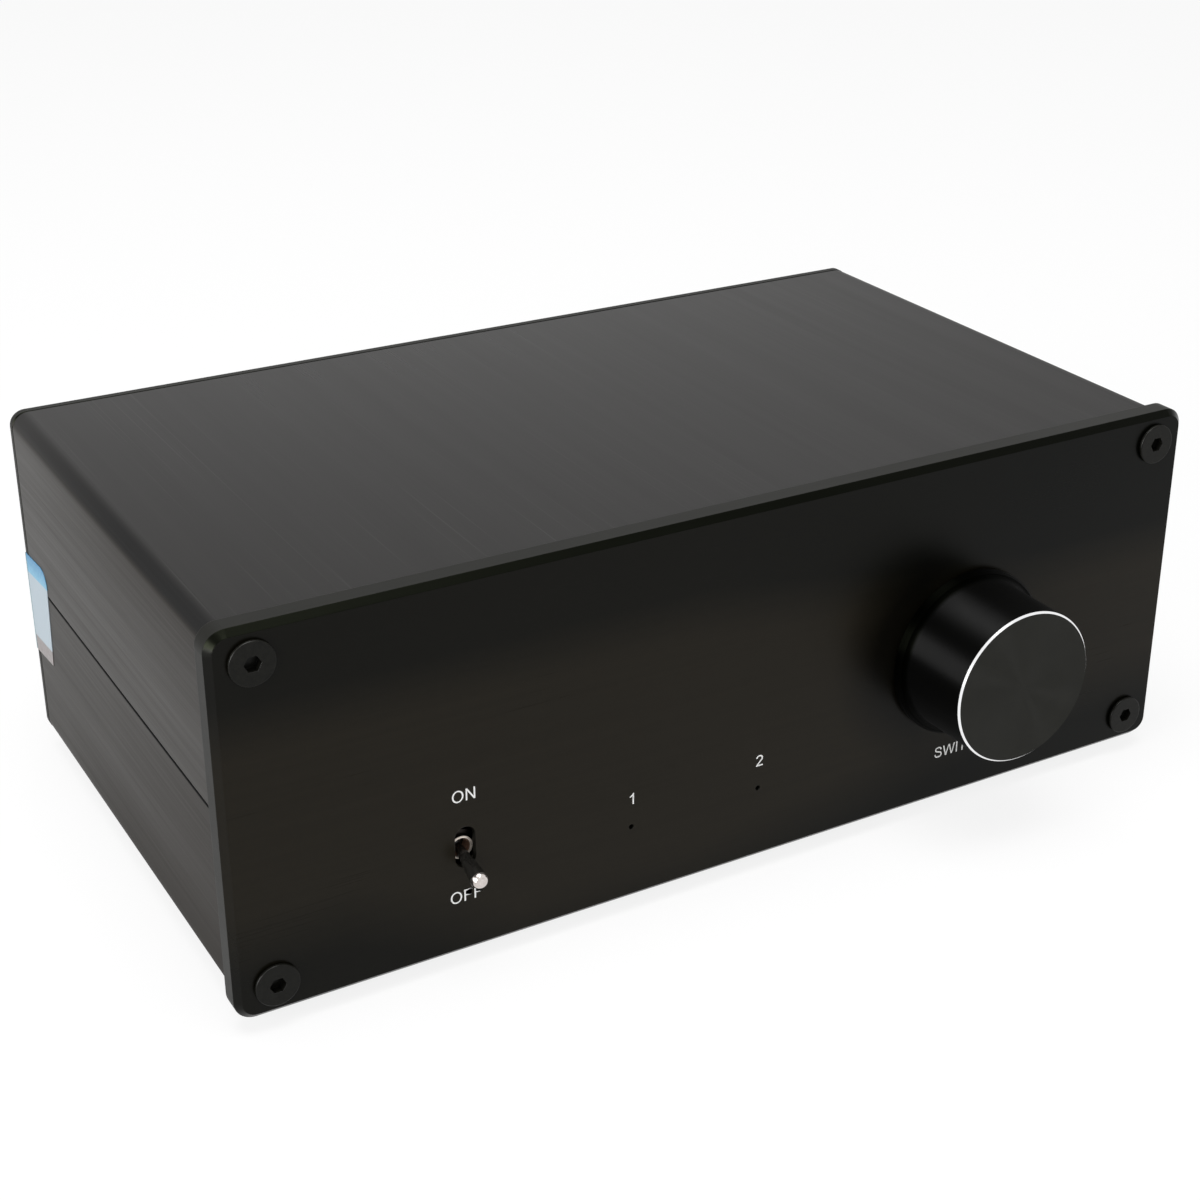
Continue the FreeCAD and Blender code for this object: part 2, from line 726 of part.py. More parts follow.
# ================================================================ toggle switch
def make_toggle_bushing():
    """Threaded bushing with a thin nose, a mouth cone, a throat and the lever's ball seat."""
    mouth = toggle_nose_recess
    throat = mouth + toggle_throat_depth
    seat = throat + toggle_throat_length
    tail_swing = (toggle_body_front - toggle_pivot_depth) * math.tan(toggle_throw_angle)
    rear_radius = toggle_tail_radius + tail_swing + swing_gap + running_gap
    seat_radius = toggle_ball_radius + running_gap
    seat_end = toggle_pivot_depth + toggle_ball_radius / 2
    solid = all_of([rod(toggle_nose_radius, mouth, toggle_bushing_front),
                    rod(toggle_bushing_radius, toggle_bushing_front, toggle_body_front)])
    hollow = [taper(toggle_mouth_radius, toggle_throat_radius, mouth, throat),
              rod(toggle_throat_radius, throat, seat),
              rod(seat_radius, seat, seat_end),
              taper(seat_radius, rear_radius, seat_end, toggle_body_front)]
    frame_front = toggle_body_front - toggle_frame_thickness
    half_width = toggle_body_width / 2
    half_height = toggle_body_height / 2
    frame = block(-half_width, half_width, frame_front, toggle_body_front, -half_height, half_height)
    legs = [block(side * (half_width - toggle_leg_width / 2) - toggle_leg_width / 2,
                  side * (half_width - toggle_leg_width / 2) + toggle_leg_width / 2,
                  frame_front, toggle_body_front, board_top - toggle_z, -half_height) for side in (-1, 1)]
    bushing = all_of([solid, frame] + legs).cut(hollow)
    bushing.translate(Vector(toggle_x, 0, toggle_z))
    return bushing


def make_toggle_body():
    half_width = toggle_body_width / 2
    half_height = toggle_body_height / 2
    rear = toggle_body_front + toggle_body_length
    body = block(-half_width, half_width, toggle_body_front, rear, -half_height, half_height)
    cavity = block(-half_width + toggle_body_wall, half_width - toggle_body_wall,
                   toggle_body_front, rear - toggle_body_wall,
                   -half_height + toggle_body_wall / 2, half_height - toggle_body_wall / 2)
    slots = [block(-terminal_width / 2, terminal_width / 2, rear - toggle_body_wall, rear,
                   z - toggle_z - terminal_thickness / 2, z - toggle_z + terminal_thickness / 2)
             for z, row in toggle_rows()]
    body = body.cut([cavity] + slots)
    body.translate(Vector(toggle_x, 0, toggle_z))
    return body


def make_toggle_terminals():
    """Three terminals that end just behind the swing of the lever's contact bridge."""
    sweep_radius = math.hypot(toggle_tail_length, toggle_wiper_reach)
    outer_edge = terminal_pitch - terminal_thickness / 2
    middle_start = toggle_pivot_depth + sweep_radius + swing_gap
    outer_start = toggle_pivot_depth + math.sqrt(sweep_radius ** 2 - outer_edge ** 2) + swing_gap
    starts = (outer_start, middle_start, outer_start)
    return [bent_pin(toggle_x, z, start, row, terminal_width, terminal_thickness)
            for (z, row), start in zip(toggle_rows(), starts)]


def swung_to_off(shape):
    """Swing a shape made about the pivot, along y, down to OFF and move it to the ball's place."""
    swung = shape.copy()
    swung.rotate(Vector(0, 0, 0), RIGHT, toggle_half_throw)
    swung.translate(Vector(toggle_x, toggle_pivot_depth, toggle_z))
    return swung


def make_toggle_lever():
    """Lever turned about its own axis: domed bat, ball and tail."""
    neck = math.sqrt(toggle_ball_radius ** 2 - toggle_root_radius ** 2)
    tail_neck = math.sqrt(toggle_ball_radius ** 2 - toggle_tail_radius ** 2)
    bat = taper(toggle_tip_radius, toggle_root_radius, -toggle_reach, -neck / 2)
    tip = Part.makeSphere(toggle_tip_radius, Vector(0, -toggle_reach, 0))
    ball = Part.makeSphere(toggle_ball_radius, Vector(0, 0, 0))
    tail = rod(toggle_tail_radius, tail_neck / 2, toggle_tail_length)
    return swung_to_off(all_of([bat, tip, ball, tail]))


def make_toggle_wiper():
    """Contact bridge across the tail's end: it joins the middle terminal to one of the outer two."""
    front = toggle_tail_length - toggle_wiper_thickness
    bar = block(-toggle_wiper_width / 2, toggle_wiper_width / 2, front, toggle_tail_length,
                -toggle_wiper_reach, toggle_wiper_reach)
    return swung_to_off(bar.cut(rod(toggle_tail_radius, front, toggle_tail_length)))


# ================================================================ rotary selector
def sector(radius_low, radius_high, angle_low, angle_high, y_low, y_high):
    """Part of a ring about the y axis between two angles, in degrees from +x towards +z."""
    def at(radius, degrees):
        angle = math.radians(degrees)
        return Vector(radius * math.cos(angle), y_low, radius * math.sin(angle))

    middle = (angle_low + angle_high) / 2
    edges = [Part.Arc(at(radius_high, angle_low), at(radius_high, middle), at(radius_high, angle_high)),
             Part.LineSegment(at(radius_high, angle_high), at(radius_low, angle_high)),
             Part.Arc(at(radius_low, angle_high), at(radius_low, middle), at(radius_low, angle_low)),
             Part.LineSegment(at(radius_low, angle_low), at(radius_high, angle_low))]
    wire = Part.Wire([edge.toShape() for edge in edges])
    return Part.Face(wire).extrude(BACKWARD * (y_high - y_low))


def at_selector(shape):
    """Move a shape made about the y axis to the selector's axis."""
    moved = shape.copy()
    moved.translate(Vector(selector_x, 0, selector_z))
    return moved


def stop_tab_angles():
    """The rotor tab's two edges at rest, in position 1."""
    middle = selector_stop_top + selector_throw / 2
    return middle - selector_stop_tab / 2, middle + selector_stop_tab / 2


def make_selector_bushing():
    tube = rod(selector_bushing_radius, -selector_bushing_reach, panel_thickness)
    plate = rod(selector_plate_radius, panel_thickness, selector_plate_rear)
    bore = rod(selector_shaft_radius + running_gap, -selector_bushing_reach, selector_plate_rear)
    return at_selector(all_of([tube, plate]).cut(bore))


def make_selector_washer():
    washer = rod(selector_washer_radius, -selector_washer_thickness, 0)
    return at_selector(washer.cut(rod(selector_bushing_radius + loose_gap, -selector_washer_thickness, 0)))


def make_selector_nut():
    front = -selector_washer_thickness - selector_nut_thickness
    nut = hexagon(selector_nut_flats, front, -selector_washer_thickness)
    bore = rod(selector_bushing_radius + running_gap, front, -selector_washer_thickness)
    return at_selector(nut.cut(bore))


def make_selector_housing():
    """Drum with a rear bearing, two stops for the rotor's tab and slots for the terminals."""
    drum = rod(housing_radius, selector_plate_rear, housing_rear)
    hollow = rod(housing_inner_radius, selector_plate_rear, housing_wall_front)
    bearing = rod(selector_pivot_radius + running_gap, housing_wall_front,
                  shaft_rear + selector_pivot_length + running_gap)
    tab_low, tab_high = stop_tab_angles()
    low_stop = tab_low - selector_throw - selector_stop_play
    high_stop = tab_high + selector_stop_play
    lug_radius = selector_rotor_radius + swing_gap
    lug_root = housing_inner_radius + selector_housing_wall / 2
    stops = [sector(lug_radius, lug_root, low_stop - selector_stop_lug, low_stop,
                    selector_plate_rear, rotor_rear),
             sector(lug_radius, lug_root, high_stop, high_stop + selector_stop_lug,
                    selector_plate_rear, rotor_rear)]
    slots = [block(x - selector_x - terminal_width / 2, x - selector_x + terminal_width / 2,
                   housing_wall_front, housing_rear,
                   -selector_terminal_drop - terminal_thickness / 2,
                   -selector_terminal_drop + terminal_thickness / 2) for x in harness_xs()]
    return at_selector(all_of([drum.cut(hollow)] + stops).cut([bearing] + slots))


def make_selector_terminals():
    start = rotor_rear + wiper_thickness + swing_gap
    return [block(x - terminal_width / 2, x + terminal_width / 2, start, terminal_rear,
                  terminal_z - terminal_thickness / 2, terminal_z + terminal_thickness / 2)
            for x in harness_xs()]


def make_selector_shaft():
    """Shaft with a flat for the knob's grub screw and a thin pivot at its rear end."""
    shaft = rod(selector_shaft_radius, shaft_front, shaft_rear)
    pivot = rod(selector_pivot_radius, shaft_rear, shaft_rear + selector_pivot_length)
    flat = block(-selector_shaft_radius, selector_shaft_radius, shaft_front, shaft_front + shaft_flat_length,
                 -selector_shaft_radius, shaft_flat_depth - selector_shaft_radius)
    return at_selector(all_of([shaft, pivot]).cut(flat))


def make_selector_rotor():
    tab_low, tab_high = stop_tab_angles()
    disc = rod(selector_rotor_radius, rotor_front, rotor_rear)
    tab = sector(selector_rotor_radius / 2, selector_rotor_radius + selector_stop_reach,
                 tab_low, tab_high, rotor_front, rotor_rear)
    bore = rod(selector_shaft_radius, rotor_front, rotor_rear)
    return at_selector(all_of([disc, tab]).cut(bore))


def make_selector_wiper():
    """Contact on the rotor's rear that bridges the middle terminal and one outer terminal."""
    return at_selector(sector(wiper_inner_radius, wiper_outer_radius, wiper_angles[0], wiper_angles[1],
                              rotor_rear, rotor_rear + wiper_thickness))


def make_knob():
    """Turned knob: bevelled face, straight side, flange, recess over the nut and a blind bore."""
    flange_front = -knob_gap - knob_flange_thickness
    recess_front = -knob_gap - knob_recess_depth
    bore_radius = selector_shaft_radius + running_gap
    bore_front = shaft_front - running_gap
    knob = turn([(0, -knob_reach), (knob_radius - knob_bevel, -knob_reach),
                 (knob_radius, knob_bevel - knob_reach), (knob_radius, flange_front),
                 (knob_flange_radius - knob_flange_chamfer, flange_front),
                 (knob_flange_radius, flange_front + knob_flange_chamfer),
                 (knob_flange_radius, -knob_gap), (knob_recess_radius, -knob_gap),
                 (knob_recess_radius, recess_front), (bore_radius, recess_front),
                 (bore_radius, bore_front), (0, bore_front)])
    root = [edge for edge in edges_at_y(knob, flange_front)
            if abs(edge.Curve.Radius - knob_radius) < 1e-6]
    knob = knob.makeFillet(knob_flange_fillet, root)
    hole = Part.makeCylinder(grub_screw_radius + running_gap, knob_radius, Vector(0, grub_screw_y, 0), -UP)
    return at_selector(knob.cut(hole))


def make_grub_screw():
    """Socket grub screw below the axis, its tip on the shaft's flat."""
    tip = shaft_flat_depth - selector_shaft_radius
    screw = Part.makeCylinder(grub_screw_radius, grub_screw_length, Vector(0, grub_screw_y, tip), -UP)
    socket = hexagon(grub_socket_flats, 0, grub_socket_depth)
    socket.rotate(Vector(0, 0, 0), RIGHT, 90)
    socket.translate(Vector(0, grub_screw_y, tip - grub_screw_length))
    return at_selector(screw.cut(socket))


# ================================================================ wire harness
def make_harness_wire(x):
    """Wire from a selector terminal back and down into the plug."""
    corner_y = terminal_rear + harness_run
    drop_y = harness_plug_y()
    lean = harness_bend_radius * (1 - math.sqrt(0.5))
    start = Vector(x, terminal_rear, terminal_z)
    arc_start = Vector(x, corner_y, terminal_z)
    arc_middle = Vector(x, drop_y - lean, terminal_z - lean)
    arc_end = Vector(x, drop_y, terminal_z - harness_bend_radius)
    end = Vector(x, drop_y, plug_top)
    path = Part.Wire([Part.LineSegment(start, arc_start).toShape(),
                      Part.Arc(arc_start, arc_middle, arc_end).toShape(),
                      Part.LineSegment(arc_end, end).toShape()])
    section = Part.Wire([Part.Circle(start, BACKWARD, harness_wire_radius).toShape()])
    return path.makePipeShell([section], True, False)


def plug_block(z_low, z_high):
    """Block of the harness connector between two heights."""
    y = harness_plug_y()
    reach = selector_terminal_pitch + harness_plug_margin
    return block(selector_x - reach, selector_x + reach, y - harness_plug_depth / 2,
                 y + harness_plug_depth / 2, z_low, z_high)


# ================================================================ binding posts
def each_post(shape):
    """Copies of a shape made about the y axis, one for each post, left to right, low then high."""
    copies = []
    for x in post_xs:
        for z in post_zs:
            copy = shape.copy()
            copy.translate(Vector(x, 0, z))
            copies.append(copy)
    return copies


def make_collar():
    collar = all_of([rod(collar_nose_radius, rear_inner, rear_face),
                     rod(collar_radius, rear_face, rear_face + collar_thickness)])
    return collar.cut(rod(stud_radius + loose_gap, rear_inner, rear_face + collar_thickness))


def make_stud():
    """Threaded post with a seating flange, a cross hole for bare wire and a plug socket."""
    collar_rear = rear_face + collar_thickness
    stud = all_of([rod(stud_radius, stud_front, stud_rear),
                   rod(stud_flange_radius, collar_rear, flange_rear)])
    wire_y = collar_rear + wire_hole_offset
    wire_hole = Part.makeCylinder(wire_hole_radius, 2 * stud_radius, Vector(0, wire_y, -stud_radius), UP)
    return stud.cut([rod(stud_bore_radius, stud_rear - stud_bore_depth, stud_rear), wire_hole])


def make_post_washer():
    washer = rod(collar_radius, washer_front, rear_inner)
    return washer.cut(rod(stud_radius + loose_gap, washer_front, rear_inner))


def make_post_nut():
    nut = hexagon(post_nut_flats, nut_front, rear_board_front)
    return nut.cut(rod(stud_radius + running_gap, nut_front, rear_board_front))


def make_cap():
    """Fluted screw cap with a through hole for a plug."""
    cap = rod(cap_radius, cap_front, cap_rear)
    cap = cap.makeFillet(cap_edge, edges_at_y(cap, cap_rear))
    hole = all_of([rod(stud_radius + running_gap, cap_front, cap_rear - cap_lip),
                   rod(cap_lip_radius, cap_rear - cap_lip, cap_rear)])
    flute_centre = cap_radius + cap_flute_radius - cap_flute_depth
    flute_start = cap_front + cap_lip
    flutes = []
    for step in range(cap_flutes):
        angle = 2 * math.pi * step / cap_flutes
        flutes.append(rod(cap_flute_radius, flute_start, cap_rear,
                          flute_centre * math.cos(angle), flute_centre * math.sin(angle)))
    return cap.cut([hole] + flutes)


# ================================================================ power jack
def make_jack_body():
    body = block(jack_x - jack_width / 2, jack_x + jack_width / 2, jack_front, rear_inner,
                 board_top, board_top + jack_height)
    nose = rod(jack_nose_radius, rear_inner, rear_face, jack_x, jack_z)
    bore = rod(jack_bore_radius, rear_face - jack_bore_depth, rear_face, jack_x, jack_z)
    return all_of([body, nose]).cut(bore)


def make_jack_contacts():
    """Centre pin of the jack and its two legs."""
    pin = rod(jack_pin_radius, rear_face - jack_bore_depth, rear_face - jack_pin_recess, jack_x, jack_z)
    half = jack_leg_size / 2
    legs = [block(x - half, x + half, y - half, y + half, pin_end, board_top)
            for x, y in jack_leg_places()]
    return [pin] + legs


# ================================================================ the whole part
def cap_names():
    """Node names of the screw caps, in the order of each_post."""
    groups = ("input", "speaker_1", "speaker_2")
    return [f"cap_{group}_{side}_{pole}" for group in groups for side in ("left", "right")
            for pole in ("minus", "plus")]


def main():
    os.makedirs("parts", exist_ok=True)
    tube = shell_section()
    save("front_panel", make_front_panel())
    save("upper_shell", make_upper_shell(tube))
    save("lower_shell", make_lower_shell(tube))
    save("rear_plate", make_rear_plate())
    save("front_panel_screws", *[case_screw(x, z, front_screw_proud) for x, z in corner_places()])
    save("rear_plate_screws", *[turned_to_rear(case_screw(x, z, rear_screw_proud))
                                for x, z in corner_places()])
    save("rubber_feet", *make_feet())
    save("side_label", make_label())

    save("main_board", make_main_board())
    save("rear_terminal_board", make_rear_board())
    strip, pins = make_header()
    save("board_connector", strip)
    save("board_connector_pins", *pins)
    cases, relay_pins = make_relays()
    save("relays", *cases)
    save("relay_pins", *relay_pins)
    save("capacitors", *make_capacitors())
    chip, chip_legs = make_driver_chip()
    save("driver_chip", chip)
    save("driver_chip_legs", *chip_legs)
    for number, x in enumerate(lamp_xs, 1):
        save(f"lamp_{number}", *make_lamp(x))

    save("toggle_bushing", make_toggle_bushing())
    save("toggle_body", make_toggle_body())
    save("toggle_terminals", *make_toggle_terminals())
    save("toggle_lever", make_toggle_lever())
    save("toggle_wiper", make_toggle_wiper())

    save("selector_bushing", make_selector_bushing())
    save("selector_washer", make_selector_washer())
    save("selector_nut", make_selector_nut())
    save("selector_housing", make_selector_housing())
    save("selector_terminals", *make_selector_terminals())
    save("selector_shaft", make_selector_shaft())
    save("selector_rotor", make_selector_rotor())
    save("selector_wiper", make_selector_wiper())
    save("selector_knob", make_knob())
    save("knob_grub_screw", make_grub_screw())
    save("harness_wires", *[make_harness_wire(x) for x in harness_xs()])
    save("harness_plug", plug_block(socket_top, plug_top))
    save("harness_socket", plug_block(board_top, socket_top))

    collars = each_post(make_collar())
    save("post_collars_minus", *collars[0::2])
    save("post_collars_plus", *collars[1::2])
    save("post_studs", *each_post(make_stud()))
    save("post_washers", *each_post(make_post_washer()))
    save("post_nuts", *each_post(make_post_nut()))
    for name, cap in zip(cap_names(), each_post(make_cap())):
        save(name, cap)

    save("power_jack", make_jack_body())
    save("power_jack_contacts", *make_jack_contacts())


main()
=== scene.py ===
"""Looks of the speaker selector switch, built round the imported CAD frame. Metres, part frame."""
import json
import math

import bmesh
import bpy
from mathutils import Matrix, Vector


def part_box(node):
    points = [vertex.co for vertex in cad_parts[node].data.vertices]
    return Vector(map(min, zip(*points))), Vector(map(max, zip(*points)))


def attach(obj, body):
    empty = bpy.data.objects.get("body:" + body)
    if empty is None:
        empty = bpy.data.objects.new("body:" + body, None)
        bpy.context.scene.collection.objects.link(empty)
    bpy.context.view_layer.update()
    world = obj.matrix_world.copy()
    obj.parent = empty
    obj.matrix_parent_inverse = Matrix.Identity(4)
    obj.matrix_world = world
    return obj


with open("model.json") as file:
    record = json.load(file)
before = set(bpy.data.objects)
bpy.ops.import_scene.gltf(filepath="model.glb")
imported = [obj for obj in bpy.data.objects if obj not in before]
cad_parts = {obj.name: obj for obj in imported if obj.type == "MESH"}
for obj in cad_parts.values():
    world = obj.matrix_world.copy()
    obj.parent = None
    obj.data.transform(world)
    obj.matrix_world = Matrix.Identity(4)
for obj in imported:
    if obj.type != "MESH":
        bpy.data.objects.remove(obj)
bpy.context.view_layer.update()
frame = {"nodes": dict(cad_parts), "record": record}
nodes = frame["nodes"]
scene = bpy.context.scene
MM = 0.001
ACROSS, BACK, UP, DOWN = (1.0, 0.0, 0.0), (0.0, 1.0, 0.0), (0.0, 0.0, 1.0), (0.0, 0.0, -1.0)

# ---------------------------------------------------------------- sizes that the frame doesn't state
SEAM_HEIGHT = 35.0 * MM        # of the shells' seam above the panel's foot
KNOB_BEVEL = 0.35 * MM
FLANGE_DEPTH = 14.0 * MM       # of the knob's flange behind the knob's face
PIVOT_DEPTH = 4.4 * MM         # of the lever's pivot behind the panel's face
LEVER_LENGTH = 9.45 * MM       # from the pivot to the middle of the dome
MOUTH_RADIUS = 1.75 * MM       # of the toggle bushing
OFF_ANGLE = math.radians(15.5)

# ---------------------------------------------------------------- places taken from the frame
panel_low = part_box("front_panel")[0]
PANEL_FACE = panel_low.y
PANEL_BOTTOM = panel_low.z
knob_low, knob_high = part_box("selector_knob")
KNOB_X = (knob_low.x + knob_high.x) / 2
KNOB_Z = (knob_low.z + knob_high.z) / 2
KNOB_FACE = knob_low.y
SEAM = PANEL_BOTTOM + SEAM_HEIGHT
REAR_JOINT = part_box("upper_shell")[1].y
body_low, body_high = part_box("toggle_body")
TOGGLE_X = (body_low.x + body_high.x) / 2
TOGGLE_Z = (body_low.z + body_high.z) / 2
NOSE_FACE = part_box("toggle_bushing")[0].y
PIVOT = Vector((TOGGLE_X, PANEL_FACE + PIVOT_DEPTH, TOGGLE_Z))
LEVER_AXIS = Vector((0.0, -math.cos(OFF_ANGLE), -math.sin(OFF_ANGLE)))
LEVER_TIP = PIVOT + LEVER_AXIS * LEVER_LENGTH


# ================================================================ materials
class Surface:
    """A procedural material: one Principled shader and the nodes that feed it."""

    def __init__(self, name, metallic=0.0, specular=0.5, **constants):
        self.material = bpy.data.materials.new(name)
        self.material.use_nodes = True
        self.tree = self.material.node_tree
        self.shader = self.tree.nodes["Principled BSDF"]
        self.shader.inputs["Metallic"].default_value = metallic
        self.shader.inputs["Specular IOR Level"].default_value = specular
        for socket, value in constants.items():
            self.shader.inputs[socket].default_value = value
        self.normal = None
        self.coordinates = self.add("ShaderNodeTexCoord").outputs["Object"]

    def add(self, kind, **settings):
        node = self.tree.nodes.new(kind)
        for key, value in settings.items():
            setattr(node, key, value)
        return node

    def plug(self, value, socket):
        """Feed a socket from another socket or a constant."""
        if isinstance(value, bpy.types.NodeSocket):
            self.tree.links.new(value, socket)
        elif hasattr(value, "__len__") and len(value) == 3 and socket.type == "RGBA":
            socket.default_value = (*value, 1.0)
        else:
            socket.default_value = value

    def maths(self, operation, a, b=0.0):
        node = self.add("ShaderNodeMath", operation=operation)
        self.plug(a, node.inputs[0])
        self.plug(b, node.inputs[1])
        return node.outputs[0]

    def noise(self, scale, detail, roughness=0.6, offset=(0.0, 0.0, 0.0)):
        """Noise with its own frequency, in features per metre, along each axis."""
        mapping = self.add("ShaderNodeMapping")
        self.plug(self.coordinates, mapping.inputs["Vector"])
        mapping.inputs["Scale"].default_value = scale if hasattr(scale, "__len__") else (scale,) * 3
        mapping.inputs["Location"].default_value = offset
        noise = self.add("ShaderNodeTexNoise", noise_dimensions="3D")
        self.plug(mapping.outputs[0], noise.inputs["Vector"])
        noise.inputs["Scale"].default_value = 1.0
        noise.inputs["Detail"].default_value = detail
        noise.inputs["Roughness"].default_value = roughness
        return noise.outputs["Fac"]

    def spread(self, factor, low, high, start=0.3, end=0.7):
        """Stretch a factor between start and end to the range low to high."""
        node = self.add("ShaderNodeMapRange")
        self.plug(factor, node.inputs["Value"])
        for name, value in (("From Min", start), ("From Max", end), ("To Min", low), ("To Max", high)):
            node.inputs[name].default_value = value
        return node.outputs["Result"]

    def rise(self, value, start=0.3, end=0.7):
        """0 up to start, 1 from end on."""
        return self.spread(value, 0.0, 1.0, start, end)

    def fall(self, value, start, end):
        """1 up to start, 0 from end on."""
        return self.spread(value, 1.0, 0.0, start, end)

    def mix(self, factor, a, b):
        """Colour between a and b."""
        node = self.add("ShaderNodeMix", data_type="RGBA")
        self.plug(factor, node.inputs["Factor"])
        self.plug(a, node.inputs["A"])
        self.plug(b, node.inputs["B"])
        return node.outputs["Result"]

    def bump(self, height, strength, distance):
        node = self.add("ShaderNodeBump")
        node.inputs["Strength"].default_value = strength
        node.inputs["Distance"].default_value = distance
        self.plug(height, node.inputs["Height"])
        if self.normal is not None:
            self.plug(self.normal, node.inputs["Normal"])
        self.normal = node.outputs["Normal"]
        self.plug(self.normal, self.shader.inputs["Normal"])

    def round_edges(self, radius):
        """Rounded look of the edges; bumps added later sit on it."""
        bevel = self.add("ShaderNodeBevel", samples=6)
        bevel.inputs["Radius"].default_value = radius
        self.normal = bevel.outputs["Normal"]
        self.plug(self.normal, self.shader.inputs["Normal"])

    def edges(self, radius):
        """Mask that is 1 on sharp edges."""
        bevel = self.add("ShaderNodeBevel", samples=6)
        bevel.inputs["Radius"].default_value = radius
        unbent = self.vector("DOT_PRODUCT", bevel.outputs["Normal"], self.normals())
        return self.rise(self.maths("SUBTRACT", 1.0, unbent), 0.02, 0.25)

    def axis(self, name):
        """One object coordinate, in metres."""
        node = self.add("ShaderNodeSeparateXYZ")
        self.plug(self.coordinates, node.inputs[0])
        return node.outputs[name]

    def vector(self, operation, a, b=(0.0, 0.0, 0.0)):
        node = self.add("ShaderNodeVectorMath", operation=operation)
        self.plug(a, node.inputs[0])
        self.plug(b, node.inputs[1])
        return node.outputs["Value" if operation in ("LENGTH", "DOT_PRODUCT") else "Vector"]

    def joined(self, x, y, z):
        node = self.add("ShaderNodeCombineXYZ")
        for value, socket in zip((x, y, z), node.inputs):
            self.plug(value, socket)
        return node.outputs[0]

    def noise_of(self, place, detail):
        """Noise of any vector."""
        node = self.add("ShaderNodeTexNoise", noise_dimensions="3D")
        self.plug(place, node.inputs["Vector"])
        node.inputs["Scale"].default_value = 1.0
        node.inputs["Detail"].default_value = detail
        return node.outputs["Fac"]

    def mix_value(self, factor, a, b):
        """Number between a and b."""
        node = self.add("ShaderNodeMix", data_type="FLOAT")
        self.plug(factor, node.inputs["Factor"])
        self.plug(a, node.inputs["A"])
        self.plug(b, node.inputs["B"])
        return node.outputs["Result"]

    def color(self, value):
        self.plug(value, self.shader.inputs["Base Color"])

    def rough(self, value):
        self.plug(value, self.shader.inputs["Roughness"])

    def metal(self, value):
        self.plug(value, self.shader.inputs["Metallic"])

    def normals(self):
        return self.add("ShaderNodeNewGeometry").outputs["Normal"]

    def facing(self, direction):
        """How far the surface faces a direction: 1 straight at it, 0 edge on."""
        return self.vector("DOT_PRODUCT", self.normals(), direction)

    def near(self, value, place, reach, soft):
        """1 within reach of a place, fading to 0 over the soft distance."""
        away = self.maths("ABSOLUTE", self.maths("SUBTRACT", value, place))
        return self.fall(away, reach, reach + soft)

    def from_axis(self, x, z):
        """Distance from the line along Y through x, z."""
        out = self.vector("SUBTRACT", self.coordinates, (x, 0.0, z))
        return self.vector("LENGTH", self.vector("MULTIPLY", out, (1.0, 0.0, 1.0)))

    def both(self, a, b):
        """Product: two masks at once, or a mask at part strength."""
        return self.maths("MULTIPLY", a, b)

    def sum(self, *values):
        total = values[0]
        for value in values[1:]:
            total = self.maths("ADD", total, value)
        return total


# Places in these finishes are in metres of the part frame. The slow changes of tone along a face stand for
# the room the object stood in, which isn't known: in colour they are painted shade and painted reflections.
FLAT = (0.85, 0.98)            # cosines between which a face starts to count as square to an axis


